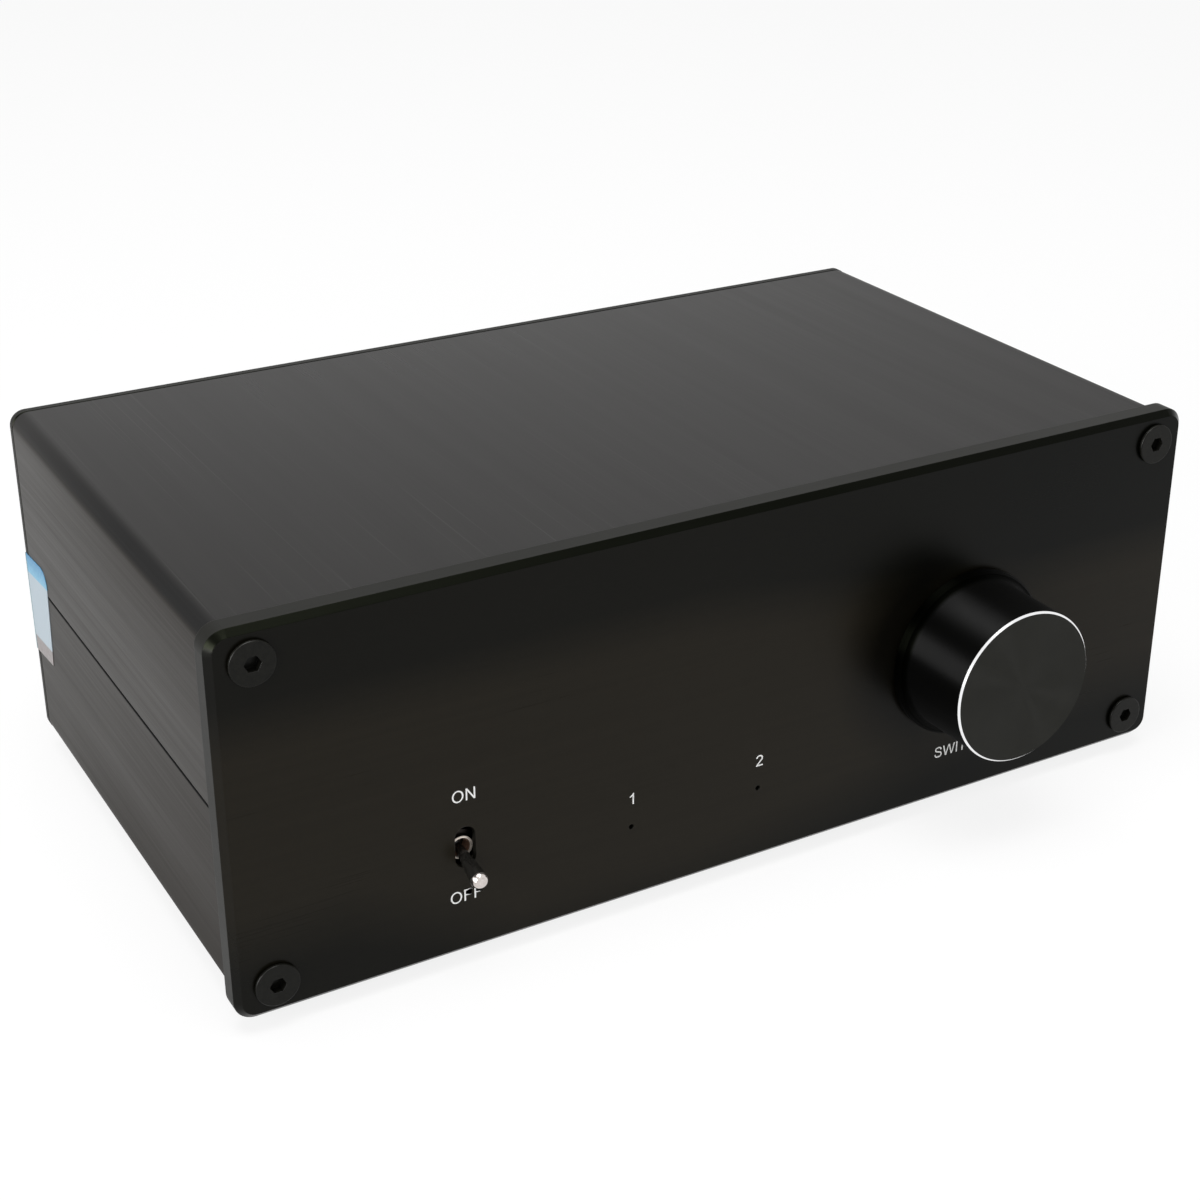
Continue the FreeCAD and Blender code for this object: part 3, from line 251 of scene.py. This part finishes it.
def anodised_shell():
    """Satin black extrusion, brushed along its depth; the lower half came out a little duller."""
    s = Surface("shell_anodised", specular=0.10)
    fine = s.noise((4600, 40, 4600), detail=4)
    streaks = s.noise((1500, 9, 1500), detail=4, roughness=0.65, offset=(3, 1, 2))
    bundles = s.noise((260, 5, 260), detail=3, offset=(6, 2, 1))
    blotches = s.noise((40, 14, 40), detail=2)
    scratches = s.noise((2600, 14, 2600), detail=1, offset=(9, 4, 7))
    across, depth, height = s.axis("X"), s.axis("Y"), s.axis("Z")

    # faces
    side = s.rise(s.maths("ABSOLUTE", s.facing(ACROSS)), *FLAT)
    top = s.rise(s.facing(UP), *FLAT)
    # rounded shoulders between top and sides, darkest towards the front: a painted dark reflection
    shoulder_dark_reflection = s.vector("DOT_PRODUCT", s.vector("ABSOLUTE", s.normals()), (0.7071, 0.0, 0.7071))
    shoulder_dark_reflection = s.both(s.rise(shoulder_dark_reflection, 0.78, 0.96), s.spread(depth, 1.0, 0.35, -0.015, 0.045))

    # stretches of the sides
    front = s.fall(depth, -0.055, 0.045)
    lower = s.fall(height, SEAM - 0.0001, SEAM + 0.0001)
    lower_front = s.both(lower, s.fall(depth, -0.045, 0.005))
    down = s.fall(height, PANEL_BOTTOM, SEAM)
    low = s.both(s.fall(height, PANEL_BOTTOM + 0.007, PANEL_BOTTOM + 0.017), s.fall(depth, 0.000, 0.035))
    high = s.both(s.rise(height, PANEL_BOTTOM + 0.048, PANEL_BOTTOM + 0.064),
                  s.spread(depth, 1.0, 0.3, -0.010, 0.040))
    # painted shade in the seam and along the joint with the rear plate
    painted_gap_shade = s.maths("MAXIMUM", s.near(height, SEAM, 0.00020, 0.00008),
                  s.rise(depth, REAR_JOINT - 0.0002, REAR_JOINT - 0.0001))

    grain = s.sum(s.both(fine, 0.5), s.both(streaks, 0.5))
    grain = s.mix_value(s.both(top, 0.55), grain, 0.5)
    tone = s.mix(s.rise(grain), (0.0040, 0.0036, 0.0034), (0.0140, 0.0130, 0.0122))
    # sides lighter and warmer than the top: a painted warm reflection
    tone = s.mix(s.both(side, 0.8), tone, (0.0142, 0.0114, 0.0084))
    tone = s.mix(s.spread(scratches, 0.0, 0.3, 0.66, 0.78), tone, (0.045, 0.044, 0.043))
    tone = s.mix(s.both(s.edges(0.0002), 0.2), tone, (0.09, 0.09, 0.09))
    # painted dark reflection on the rounded shoulders
    tone = s.mix(s.both(shoulder_dark_reflection, 0.9), tone, (0.0005, 0.0005, 0.0005))
    # painted shade in the seam and the rear joint
    s.color(s.mix(painted_gap_shade, tone, (0.0002, 0.0002, 0.0002)))

    side_dullness = s.sum(s.both(front, 0.05), s.both(lower, 0.045), s.both(down, 0.05), s.both(low, 0.09),
                          s.both(high, 0.10), s.both(lower_front, 0.045), 0.025)
    top_dullness = s.sum(s.spread(depth, 0.075, 0.0, -0.045, 0.045),
                         s.spread(across, 0.0, 0.07, 0.010, 0.090),
                         s.spread(across, 0.03, 0.0, -0.090, -0.060), -0.03)
    s.rough(s.sum(s.spread(grain, 0.27, 0.37), s.spread(bundles, -0.02, 0.02), s.both(side, side_dullness),
                  s.both(top, top_dullness), s.both(shoulder_dark_reflection, 0.25), s.both(painted_gap_shade, 0.6)))
    s.round_edges(0.00015)
    s.bump(blotches, 0.2, 0.0002)
    s.bump(grain, 0.6, 0.00004)
    return s.material


def anodised_panel():
    """Semi-gloss black plate, finely brushed from side to side, with milled rims."""
    s = Surface("panel_anodised", specular=0.10)
    fine = s.noise((50, 4200, 4200), detail=4)
    streaks = s.noise((8, 900, 900), detail=4, roughness=0.7, offset=(2, 5, 1))
    blotches = s.noise((22, 30, 30), detail=3, offset=(1, 0, 4))
    across, depth, height = s.axis("X"), s.axis("Y"), s.axis("Z")

    # faces
    flat = s.maths("ABSOLUTE", s.facing(BACK))
    rim = s.fall(flat, 0.45, 0.6)
    chamfer = s.both(s.rise(flat, 0.5, 0.65), s.fall(flat, 0.8, 0.9))
    # upward-facing chamfers: a painted dark reflection, as dark metal
    crown_dark_reflection = s.both(chamfer, s.rise(s.facing(UP), 0.05, 0.35))

    # stretches of the front with painted shade and painted dark reflections; the rear plate has the same
    # finish, but not these
    front_plate = s.fall(depth, PANEL_FACE + 0.005, PANEL_FACE + 0.006)
    right = s.rise(across, -0.010, 0.060)
    ends = s.maths("MAXIMUM", right, s.fall(across, -0.075, -0.045))
    # painted shade and dark reflection of the knob on the panel, left of it
    painted_knob_shade = s.both(s.spread(s.from_axis(KNOB_X - 0.004, KNOB_Z + 0.002), 0.8, 0.0, 0.016, 0.025),
                         s.fall(across, KNOB_X - 0.010, KNOB_X))
    # upper band of the front: a painted dark reflection
    top_dark_reflection = s.rise(s.sum(height, s.both(right, 0.009)), PANEL_BOTTOM + 0.047, PANEL_BOTTOM + 0.056)
    # lower band of the front, deeper at the ends: painted shade
    foot = s.fall(s.maths("SUBTRACT", height, s.both(ends, 0.013)),
                  PANEL_BOTTOM - 0.005, PANEL_BOTTOM + 0.007)
    dim = s.both(s.maths("MAXIMUM", top_dark_reflection, foot), s.mix_value(right, 0.80, 1.0))

    grain = s.sum(s.both(fine, 0.5), s.both(streaks, 0.5))
    tone = s.mix(s.rise(grain), (0.0086, 0.0070, 0.0040), (0.0114, 0.0094, 0.0058))
    tone = s.mix(s.spread(blotches, 0.0, 0.35), tone, (0.0114, 0.0090, 0.0052))
    # painted dark reflection near the top of the front and painted shade near its foot
    tone = s.mix(s.both(dim, front_plate), tone, (0.0006, 0.0008, 0.0002))
    # painted shade of the knob
    tone = s.mix(s.both(painted_knob_shade, front_plate), tone, (0.0002, 0.0003, 0.0001))
    tone = s.mix(s.both(s.edges(0.00025), 0.12), tone, (0.06, 0.06, 0.06))
    # chamfers a little darker: painted shade
    tone = s.mix(s.both(chamfer, 0.3), tone, (0.0003, 0.0004, 0.0001))
    tone = s.mix(crown_dark_reflection, tone, (0.0038, 0.0042, 0.0029))
    s.color(s.mix(rim, tone, (0.0030, 0.0030, 0.0016)))
    s.metal(crown_dark_reflection)                 # a metal reflects no more than its own tone, here a dark one: a painted dark reflection on the upward chamfers
    s.rough(s.sum(s.spread(grain, 0.28, 0.33), s.spread(blotches, -0.03, 0.03), s.both(rim, 0.15)))
    s.round_edges(0.0002)
    s.bump(grain, 0.1, 0.00003)
    return s.material


def anodised_knob():
    """Black turned aluminium: satin face, bright cut bevel, darker side and a flange darkened with painted
    shade.
    """
    s = Surface("knob_anodised", specular=0.06, Anisotropic=1.0)
    out = s.vector("SUBTRACT", s.coordinates, (KNOB_X, 0.0, KNOB_Z))
    round_axis = s.vector("NORMALIZE", s.vector("CROSS_PRODUCT", BACK, out))
    turned_axis = s.add("ShaderNodeVectorTransform", vector_type="VECTOR",
                        convert_from="OBJECT", convert_to="WORLD")
    s.plug(round_axis, turned_axis.inputs[0])
    s.plug(s.vector("CROSS_PRODUCT", s.normals(), turned_axis.outputs[0]), s.shader.inputs["Tangent"])
    radius = s.from_axis(KNOB_X, KNOB_Z)
    depth = s.axis("Y")

    face = s.fall(depth, KNOB_FACE + 0.00002, KNOB_FACE + 0.00004)
    rim = s.both(s.fall(depth, KNOB_FACE + KNOB_BEVEL, KNOB_FACE + KNOB_BEVEL + 0.00003),
                 s.maths("SUBTRACT", 1.0, face))
    flange = s.rise(depth, KNOB_FACE + FLANGE_DEPTH, KNOB_FACE + FLANGE_DEPTH + 0.0008)
    below = s.spread(s.facing(DOWN), 0.0, 0.6, 0.2, 0.6)

    rings = s.noise_of(s.joined(s.both(radius, 5200.0), 0.0, 0.0), detail=2)
    turned = s.noise_of(s.joined(0.0, s.both(depth, 4200.0), 0.0), detail=2)
    clouds = s.noise(130, detail=3)
    marks = s.mix_value(face, turned, rings)
    side_tone = s.mix(s.rise(marks), (0.0002, 0.0002, 0.0001), (0.0006, 0.0006, 0.0005))
    face_tone = s.mix(s.rise(clouds), (0.0165, 0.0165, 0.0142), (0.0195, 0.0195, 0.0170))
    tone = s.mix(face, side_tone, face_tone)
    # flange: a darker tone and, as metal below, a dark reflection: painted shade near the panel
    tone = s.mix(flange, tone, (0.0008, 0.0009, 0.0006))
    s.color(s.mix(rim, tone, (0.90, 0.90, 0.91)))
    s.metal(s.maths("MAXIMUM", rim, flange))
    rough = s.mix_value(face, s.sum(s.spread(marks, 0.38, 0.44), below), s.spread(clouds, 0.34, 0.40))
    s.rough(s.mix_value(rim, rough, 0.12))
    s.bump(marks, 0.04, 0.00001)
    return s.material


def black_oxide():
    """Blackened steel with a fine pitted skin."""
    s = Surface("black_screws", specular=0.13)
    pits = s.noise(2500, detail=4)
    blotches = s.noise(500, detail=2)
    tone = s.mix(s.rise(pits), (0.0022, 0.0022, 0.0014), (0.0066, 0.0064, 0.0048))
    s.color(s.mix(s.both(s.edges(0.00008), 0.2), tone, (0.08, 0.08, 0.08)))
    s.rough(s.spread(blotches, 0.28, 0.40))
    s.round_edges(0.00006)
    s.bump(pits, 0.2, 0.00002)
    return s.material


def bushing_wear_and_highlight():
    """Dark oxide bushing with a bare rim on its nose and a copper-brown mouth, both half matt and light:
    partly a painted highlight.
    """
    s = Surface("toggle_brass", metallic=1.0)
    depth = s.axis("Y")
    front = s.fall(depth, NOSE_FACE + 0.00018, NOSE_FACE + 0.00022)
    inside = s.fall(s.from_axis(TOGGLE_X, TOGGLE_Z), MOUTH_RADIUS - 0.00001, MOUTH_RADIUS + 0.00002)
    marks = s.noise((900, 4200, 900), detail=3)
    turned = s.noise_of(s.joined(0.0, s.both(depth, 9000.0), 0.0), detail=1)
    outer_tone = s.mix(s.rise(marks), (0.020, 0.018, 0.016), (0.034, 0.030, 0.027))
    mouth_tone = s.mix(s.rise(turned), (0.16, 0.085, 0.055), (0.48, 0.29, 0.20))
    s.color(s.mix(front, s.mix(inside, outer_tone, mouth_tone), (0.92, 0.82, 0.72)))
    # rim and mouth half matt, so they stay light whatever they reflect: partly a painted highlight
    s.metal(s.maths("SUBTRACT", 1.0, s.both(s.maths("MAXIMUM", inside, front), 0.5)))
    s.rough(s.spread(marks, 0.24, 0.38))
    s.bump(marks, 0.3, 0.00002)
    s.bump(turned, 0.3, 0.00004)
    return s.material


def lever_nickel():
    """Bright dome on a darker shaft."""
    s = Surface("bright_nickel", metallic=1.0)
    from_tip = s.vector("SUBTRACT", s.coordinates, tuple(LEVER_TIP))
    dome = s.rise(s.vector("DOT_PRODUCT", from_tip, tuple(LEVER_AXIS)), -0.00012, 0.0)
    marks = s.noise((900, 3600, 900), detail=3)
    shaft_tone = s.mix(s.rise(marks), (0.009, 0.0085, 0.0075), (0.017, 0.016, 0.014))
    dome_tone = s.mix(s.rise(marks), (0.54, 0.49, 0.46), (0.70, 0.65, 0.62))
    s.color(s.mix(dome, shaft_tone, dome_tone))
    s.metal(s.mix_value(dome, 0.25, 1.0))
    s.rough(s.spread(marks, 0.05, 0.11))
    s.bump(marks, 0.05, 0.00001)
    return s.material


def polished(name, low, high, roughness):
    """Plated or turned metal with faint marks and smears."""
    s = Surface(name, metallic=1.0)
    marks = s.noise((900.0, 3600.0, 900.0), detail=3)
    smears = s.noise(300.0, detail=2, offset=(4, 4, 4))
    s.color(s.mix(s.rise(marks), low, high))
    s.rough(s.sum(s.spread(marks, *roughness), s.spread(smears, -0.01, 0.05)))
    s.round_edges(0.0001)
    s.bump(marks, 0.08, 0.00001)
    return s.material


def moulded(name, low, high, roughness=(0.35, 0.5), specular=0.45, strength=0.2):
    """Moulded plastic or rubber: fine texture, slightly lighter edges."""
    s = Surface(name, specular=specular)
    texture = s.noise(1600.0, detail=4)
    clouds = s.noise(1600.0 / 12, detail=2, offset=(2, 7, 5))
    tone = s.mix(s.rise(clouds), low, high)
    lighter = tuple(min(1.0, c * 1.8 + 0.01) for c in high)
    s.color(s.mix(s.both(s.edges(0.0002), 0.3), tone, lighter))
    s.rough(s.spread(texture, *roughness))
    s.round_edges(0.0002)
    s.bump(texture, strength, 0.00003)
    return s.material


def circuit_board():
    """Green solder resist with a faint pattern of tracks."""
    s = Surface("circuit_board", specular=0.5)
    tracks = s.add("ShaderNodeTexVoronoi", feature="DISTANCE_TO_EDGE", distance="MANHATTAN")
    s.plug(s.coordinates, tracks.inputs["Vector"])
    tracks.inputs["Scale"].default_value = 220
    mask = s.fall(tracks.outputs["Distance"], 0.08, 0.12)
    weave = s.noise(3500, detail=2)
    tone = s.mix(s.rise(weave), (0.010, 0.075, 0.028), (0.016, 0.10, 0.038))
    s.color(s.mix(mask, tone, (0.03, 0.17, 0.06)))
    s.rough(s.spread(weave, 0.28, 0.40))
    s.bump(mask, 0.3, 0.00003)
    return s.material


def vinyl_label():
    """Blank sticker, slightly askew: a blue band above, a pale body and a grey band below."""
    tilt = 0.089                                  # rise over run
    blue_foot, blue_full = 16.5 * MM, 20.0 * MM   # above the sticker's foot
    grey_head = 3.2 * MM
    rear_edge = 0.5 * MM                          # dark cut edge
    soft = 0.1 * MM
    low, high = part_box("side_label")
    s = Surface("label_vinyl", specular=0.4)
    back = s.maths("SUBTRACT", high.y, s.axis("Y"))
    level = s.maths("SUBTRACT", s.maths("SUBTRACT", s.axis("Z"), low.z), s.both(back, tilt))
    paper = s.noise(1400, detail=3)
    body = s.mix(s.rise(paper), (0.295, 0.36, 0.41), (0.35, 0.415, 0.46))
    blue = s.mix(s.rise(level, blue_foot + soft, blue_full), (0.13, 0.34, 0.485), (0.040, 0.20, 0.37))
    body = s.mix(s.rise(level, blue_foot - soft, blue_foot + soft), body, blue)
    body = s.mix(s.fall(level, grey_head - soft, grey_head + soft), body, (0.205, 0.184, 0.182))
    s.color(s.mix(s.fall(back, rear_edge - soft, rear_edge + soft), body, (0.03, 0.13, 0.16)))
    s.rough(s.spread(paper, 0.35, 0.5))
    s.bump(paper, 0.15, 0.00002)
    return s.material


def printed_ink():
    """Slightly uneven white screen print."""
    s = Surface("printed_ink", specular=0.3)
    speckle = s.noise(6000, detail=3)
    s.color(s.mix(s.rise(speckle), (0.66, 0.66, 0.65), (0.80, 0.80, 0.79)))
    s.rough(s.spread(speckle, 0.45, 0.65))
    s.bump(speckle, 0.2, 0.00001)
    return s.material


finishes = {
    "panel_anodised": anodised_panel(),
    "shell_anodised": anodised_shell(),
    "knob_anodised": anodised_knob(),
    "black_screws": black_oxide(),
    "foot_rubber": moulded("foot_rubber", (0.012, 0.012, 0.012), (0.022, 0.022, 0.022), (0.6, 0.8),
                           strength=0.4),
    "label_vinyl": vinyl_label(),
    "circuit_board": circuit_board(),
    "housing_plastic": moulded("housing_plastic", (0.010, 0.010, 0.011), (0.018, 0.018, 0.019)),
    "connector_nylon": moulded("connector_nylon", (0.62, 0.59, 0.51), (0.74, 0.71, 0.64)),
    "relay_plastic": moulded("relay_plastic", (0.02, 0.04, 0.11), (0.03, 0.055, 0.14), (0.25, 0.35)),
    "capacitor_sleeve": moulded("capacitor_sleeve", (0.010, 0.014, 0.05), (0.015, 0.02, 0.07), (0.2, 0.3)),
    "lamp_lens": moulded("lamp_lens", (0.50, 0.56, 0.53), (0.66, 0.71, 0.68), (0.15, 0.3)),
    "toggle_plastic": moulded("toggle_plastic", (0.20, 0.02, 0.015), (0.28, 0.03, 0.02)),
    "toggle_brass": bushing_wear_and_highlight(),
    "bright_nickel": lever_nickel(),
    "selector_metal": polished("selector_metal", (0.45, 0.45, 0.44), (0.62, 0.62, 0.60), (0.25, 0.4)),
    "shaft_aluminium": polished("shaft_aluminium", (0.62, 0.62, 0.63), (0.78, 0.78, 0.79), (0.18, 0.3)),
    "tinned_pins": polished("tinned_pins", (0.58, 0.57, 0.54), (0.72, 0.71, 0.68), (0.2, 0.35)),
    "wire_insulation": moulded("wire_insulation", (0.45, 0.04, 0.03), (0.55, 0.06, 0.04), (0.4, 0.5)),
    "post_red": moulded("post_red", (0.30, 0.008, 0.008), (0.40, 0.014, 0.012), (0.18, 0.28),
                        specular=0.5, strength=0.06),
    "post_black": moulded("post_black", (0.007, 0.007, 0.007), (0.011, 0.011, 0.011), (0.24, 0.32),
                          specular=0.3, strength=0.03),
    "gold_plate": polished("gold_plate", (0.72, 0.46, 0.13), (0.90, 0.66, 0.26), (0.10, 0.22)),
}
ink = printed_ink()


def dress_cad_nodes():
    """Give each CAD node the finish of its slot in the record."""
    for part in frame["record"]["subparts"]:
        mesh = nodes[part["node"]].data
        mesh.materials.clear()
        mesh.materials.append(finishes[part["material_slot"]])


dress_cad_nodes()


# ================================================================ pieces
def new_piece(name, mesh, body, material):
    piece = bpy.data.objects.new(name, mesh)
    scene.collection.objects.link(piece)
    mesh.materials.append(material)
    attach(piece, body)


# Letters are drawn in hundredths of their height.
STROKE = 12.6                  # width of a stroke


def arc(x, y, across, up, start, end, steps):
    """Points of an ellipse between two angles in degrees."""
    angles = [math.radians(start + (end - start) * i / steps) for i in range(steps + 1)]
    return [(x + across * math.cos(a), y + up * math.sin(a)) for a in angles]


def smooth(points, steps=8):
    """Curve through the points (Catmull-Rom)."""
    ends = [points[0]] + list(points) + [points[-1]]
    curve = []
    for a, b, c, d in zip(ends, ends[1:], ends[2:], ends[3:]):
        for i in range(steps):
            t = i / steps
            curve.append(tuple(
                0.5 * (2 * b[k] + (c[k] - a[k]) * t + (2 * a[k] - 5 * b[k] + 4 * c[k] - d[k]) * t ** 2
                       + (3 * b[k] - a[k] - 3 * c[k] + d[k]) * t ** 3) for k in (0, 1)))
    return curve + [points[-1]]


def band(line):
    """Left and right edge of a stroke along a centre line."""
    sides = []
    for i, (x, y) in enumerate(line):
        before, after = line[max(i - 1, 0)], line[min(i + 1, len(line) - 1)]
        dx, dy = after[0] - before[0], after[1] - before[1]
        size = math.hypot(dx, dy)
        sides.append(((x - dy / size * STROKE / 2, y + dx / size * STROKE / 2),
                      (x + dy / size * STROKE / 2, y - dx / size * STROKE / 2)))
    return sides


def ring(outer, inner):
    """Ribbon between two lines of as many points."""
    return list(zip(outer, inner))


# advance, closed outlines, ribbons (pairs of points along a stroke)
LETTERS = {
    "O": (109, [], [ring(arc(54.5, 50, 47.8, 51.7, 0, 360, 64), arc(54.5, 50, 34.2, 40.2, 0, 360, 64))]),
    "C": (101, [], [ring(arc(53, 50, 46, 51.7, 36, 326, 56), arc(53, 50, 32.5, 40.2, 36, 326, 56))]),
    "S": (93, [], [band(smooth([(75, 72), (68, 89), (47, 95.6), (24, 90), (16.5, 74), (25, 61), (46, 53.5),
                                (70, 45), (79, 28), (70, 10), (47, 4.2), (22, 11), (13, 32)]))]),
    "N": (101, [[(11, 0), (11, 100), (24.5, 100), (76.5, 21.5), (76.5, 100), (89.5, 100), (89.5, 0),
                 (76, 0), (24, 78.5), (24, 0)]], []),
    "F": (85, [[(11.5, 0), (11.5, 100), (79, 100), (79, 88.2), (25, 88.2), (25, 57), (71.5, 57), (71.5, 45.2),
                (25, 45.2), (25, 0)]], []),
    "W": (132, [[(28, 0), (1.5, 100), (15.2, 100), (30.5, 34), (35, 15), (41, 37), (59, 100), (75, 100),
                 (88.5, 52), (97, 15), (102.5, 36), (118, 100), (131.5, 100), (104, 0), (91.2, 0),
                 (70, 76), (67, 88), (63.5, 76), (42.3, 0)]], []),
    "I": (39, [[(13, 0), (13, 100), (26.2, 100), (26.2, 0)]], []),
    "T": (85, [[(36, 0), (36, 88.2), (3, 88.2), (3, 100), (82.5, 100), (82.5, 88.2), (49.5, 88.2),
                (49.5, 0)]], []),
    "H": (101, [[(11, 0), (11, 100), (24.5, 100), (24.5, 59), (76.5, 59), (76.5, 100), (90, 100), (90, 0),
                 (76.5, 0), (76.5, 47), (24.5, 47), (24.5, 0)]], []),
    "1": (78, [[(52, 0), (52, 100.5), (44, 100.5), (38, 91.5), (28.5, 83), (15, 75.5), (15, 63.5), (29, 69.5),
                (39.8, 78), (39.8, 0)]], []),
    "2": (78, [[(4, 0), (4, 3), (5.5, 9), (8.5, 11.8), (22, 11.8), (70.5, 11.8), (70.5, 0)]],
          [band(smooth([(11, 72), (18, 88), (37.5, 94.5), (57, 88), (63, 72.5), (58, 57), (38, 36),
                        (15.3, 11.8)]))]),
}


LETTER_HEIGHT = 2.16 * MM
PRINT_LIFT = 0.02 * MM         # of the print off the panel's face
# piece, text, middle along X and feet above the panel's foot, both in millimetres
WORDS = (
    ("print_on", "ON", -54.6, 29.0),
    ("print_off", "OFF", -54.7, 10.1),
    ("print_1", "1", -23.3, 18.9),
    ("print_2", "2", 2.4, 18.9),
    ("print_switch", "SWITCH", 47.3, 9.1),
)


def printed_word(name, text, x, z):
    """White print on the front panel, centred on x, its feet at z."""
    unit = LETTER_HEIGHT / 100
    start = x - unit * sum(LETTERS[letter][0] for letter in text) / 2
    shape = bmesh.new()
    for letter in text:
        advance, outlines, ribbons = LETTERS[letter]

        def corner(point):
            return shape.verts.new((start + point[0] * unit, PANEL_FACE - PRINT_LIFT, z + point[1] * unit))

        for outline in outlines:
            shape.faces.new([corner(point) for point in outline])
        for ribbon in ribbons:
            pairs = [(corner(a), corner(b)) for a, b in ribbon]
            for (a, b), (c, d) in zip(pairs, pairs[1:]):
                shape.faces.new((a, b, d, c))
        start += advance * unit
    bmesh.ops.triangulate(shape, faces=shape.faces[:])
    bmesh.ops.recalc_face_normals(shape, faces=shape.faces[:])
    mesh = bpy.data.meshes.new(name)
    shape.to_mesh(mesh)
    shape.free()
    new_piece(name, mesh, "case", ink)


for piece_name, text, x_mm, foot_mm in WORDS:
    printed_word(piece_name, text, x_mm * MM, PANEL_BOTTOM + foot_mm * MM)


# ================================================================ studio
WORLD_LEVEL = 0.55             # of the white world as seen by matt surfaces
FLOOR_HALF = 3.0
FLOOR_WHITE = (0.80, 0.80, 0.80, 1.0)
FLOOR_GLOW = 0.85              # share of plain white in the floor; the rest shows the shadow
AIM = Vector((0.0, 0.0, 0.03))
ABOVE = (-0.12, -0.12, 0.95)


def soft_lamp(name, place, size, power, glossy_only=False):
    """Softbox aimed at the object, power in watts; a glossy one adds only to highlights."""
    data = bpy.data.lights.new(name, "AREA")
    data.shape = "RECTANGLE"
    data.size, data.size_y = size
    data.energy = power
    lamp = bpy.data.objects.new(name, data)
    lamp.location = place
    lamp.rotation_euler = (Vector(place) - AIM).to_track_quat("Z", "Y").to_euler()
    lamp.visible_diffuse = not glossy_only
    scene.collection.objects.link(lamp)


def backdrop_factor(tree):
    """1 for camera, glossy and transmission rays."""
    path = tree.nodes.new("ShaderNodeLightPath")
    total = path.outputs["Is Camera Ray"]
    for name in ("Is Glossy Ray", "Is Transmission Ray"):
        add = tree.nodes.new("ShaderNodeMath")
        add.operation = "MAXIMUM"
        tree.links.new(total, add.inputs[0])
        tree.links.new(path.outputs[name], add.inputs[1])
        total = add.outputs[0]
    return total


def make_world():
    """White for the camera and for reflections, dimmer for matt surfaces."""
    world = bpy.data.worlds.new("studio")
    scene.world = world
    world.use_nodes = True
    tree = world.node_tree
    background = tree.nodes["Background"]
    background.inputs["Color"].default_value = (1.0, 1.0, 1.0, 1.0)
    level = tree.nodes.new("ShaderNodeMapRange")
    level.inputs["To Min"].default_value = WORLD_LEVEL
    level.inputs["To Max"].default_value = 1.0
    tree.links.new(backdrop_factor(tree), level.inputs["Value"])
    tree.links.new(level.outputs["Result"], background.inputs["Strength"])


def make_floor():
    """White ground that keeps part of the object's shadow."""
    mesh = bpy.data.meshes.new("floor")
    shape = bmesh.new()
    bmesh.ops.create_grid(shape, x_segments=1, y_segments=1, size=FLOOR_HALF)
    shape.to_mesh(mesh)
    shape.free()
    floor = bpy.data.objects.new("floor", mesh)
    scene.collection.objects.link(floor)
    material = bpy.data.materials.new("floor_white")
    material.use_nodes = True
    tree = material.node_tree
    diffuse = tree.nodes.new("ShaderNodeBsdfDiffuse")
    diffuse.inputs["Color"].default_value = FLOOR_WHITE
    glow = tree.nodes.new("ShaderNodeEmission")
    glow.inputs["Strength"].default_value = 1.0
    keep_shadow = tree.nodes.new("ShaderNodeMath")
    keep_shadow.operation = "MULTIPLY"
    keep_shadow.inputs[1].default_value = FLOOR_GLOW
    tree.links.new(backdrop_factor(tree), keep_shadow.inputs[0])
    mix = tree.nodes.new("ShaderNodeMixShader")
    tree.links.new(keep_shadow.outputs[0], mix.inputs["Fac"])
    tree.links.new(diffuse.outputs[0], mix.inputs[1])
    tree.links.new(glow.outputs[0], mix.inputs[2])
    tree.links.new(mix.outputs[0], tree.nodes["Material Output"].inputs["Surface"])
    mesh.materials.append(material)


make_world()
make_floor()
soft_lamp("lamp_top", ABOVE, (0.66, 0.5), 8.0)
soft_lamp("lamp_left", (-0.90, -0.30, 0.33), (0.5, 0.55), 5.0)
soft_lamp("highlight_top", ABOVE, (0.66, 0.5), 21.0, glossy_only=True)
soft_lamp("highlight_left", (-0.92, -0.30, 0.25), (0.5, 0.48), 13.0, glossy_only=True)


# ================================================================ camera
def make_camera():
    """The photo's viewpoint, fitted on the object's corners."""
    data = bpy.data.cameras.new("camera")
    data.sensor_width = 36.0
    data.lens = 63.418
    data.shift_x = -0.03922
    data.shift_y = -0.02824
    data.clip_start = 0.01
    camera = bpy.data.objects.new("camera", data)
    camera.location = (-0.17904, -0.32079, 0.20839)
    camera.rotation_euler = tuple(math.radians(a) for a in (65.1261, -0.4302, -30.6438))
    scene.collection.objects.link(camera)
    scene.camera = camera


make_camera()
scene.view_settings.view_transform = "Standard"
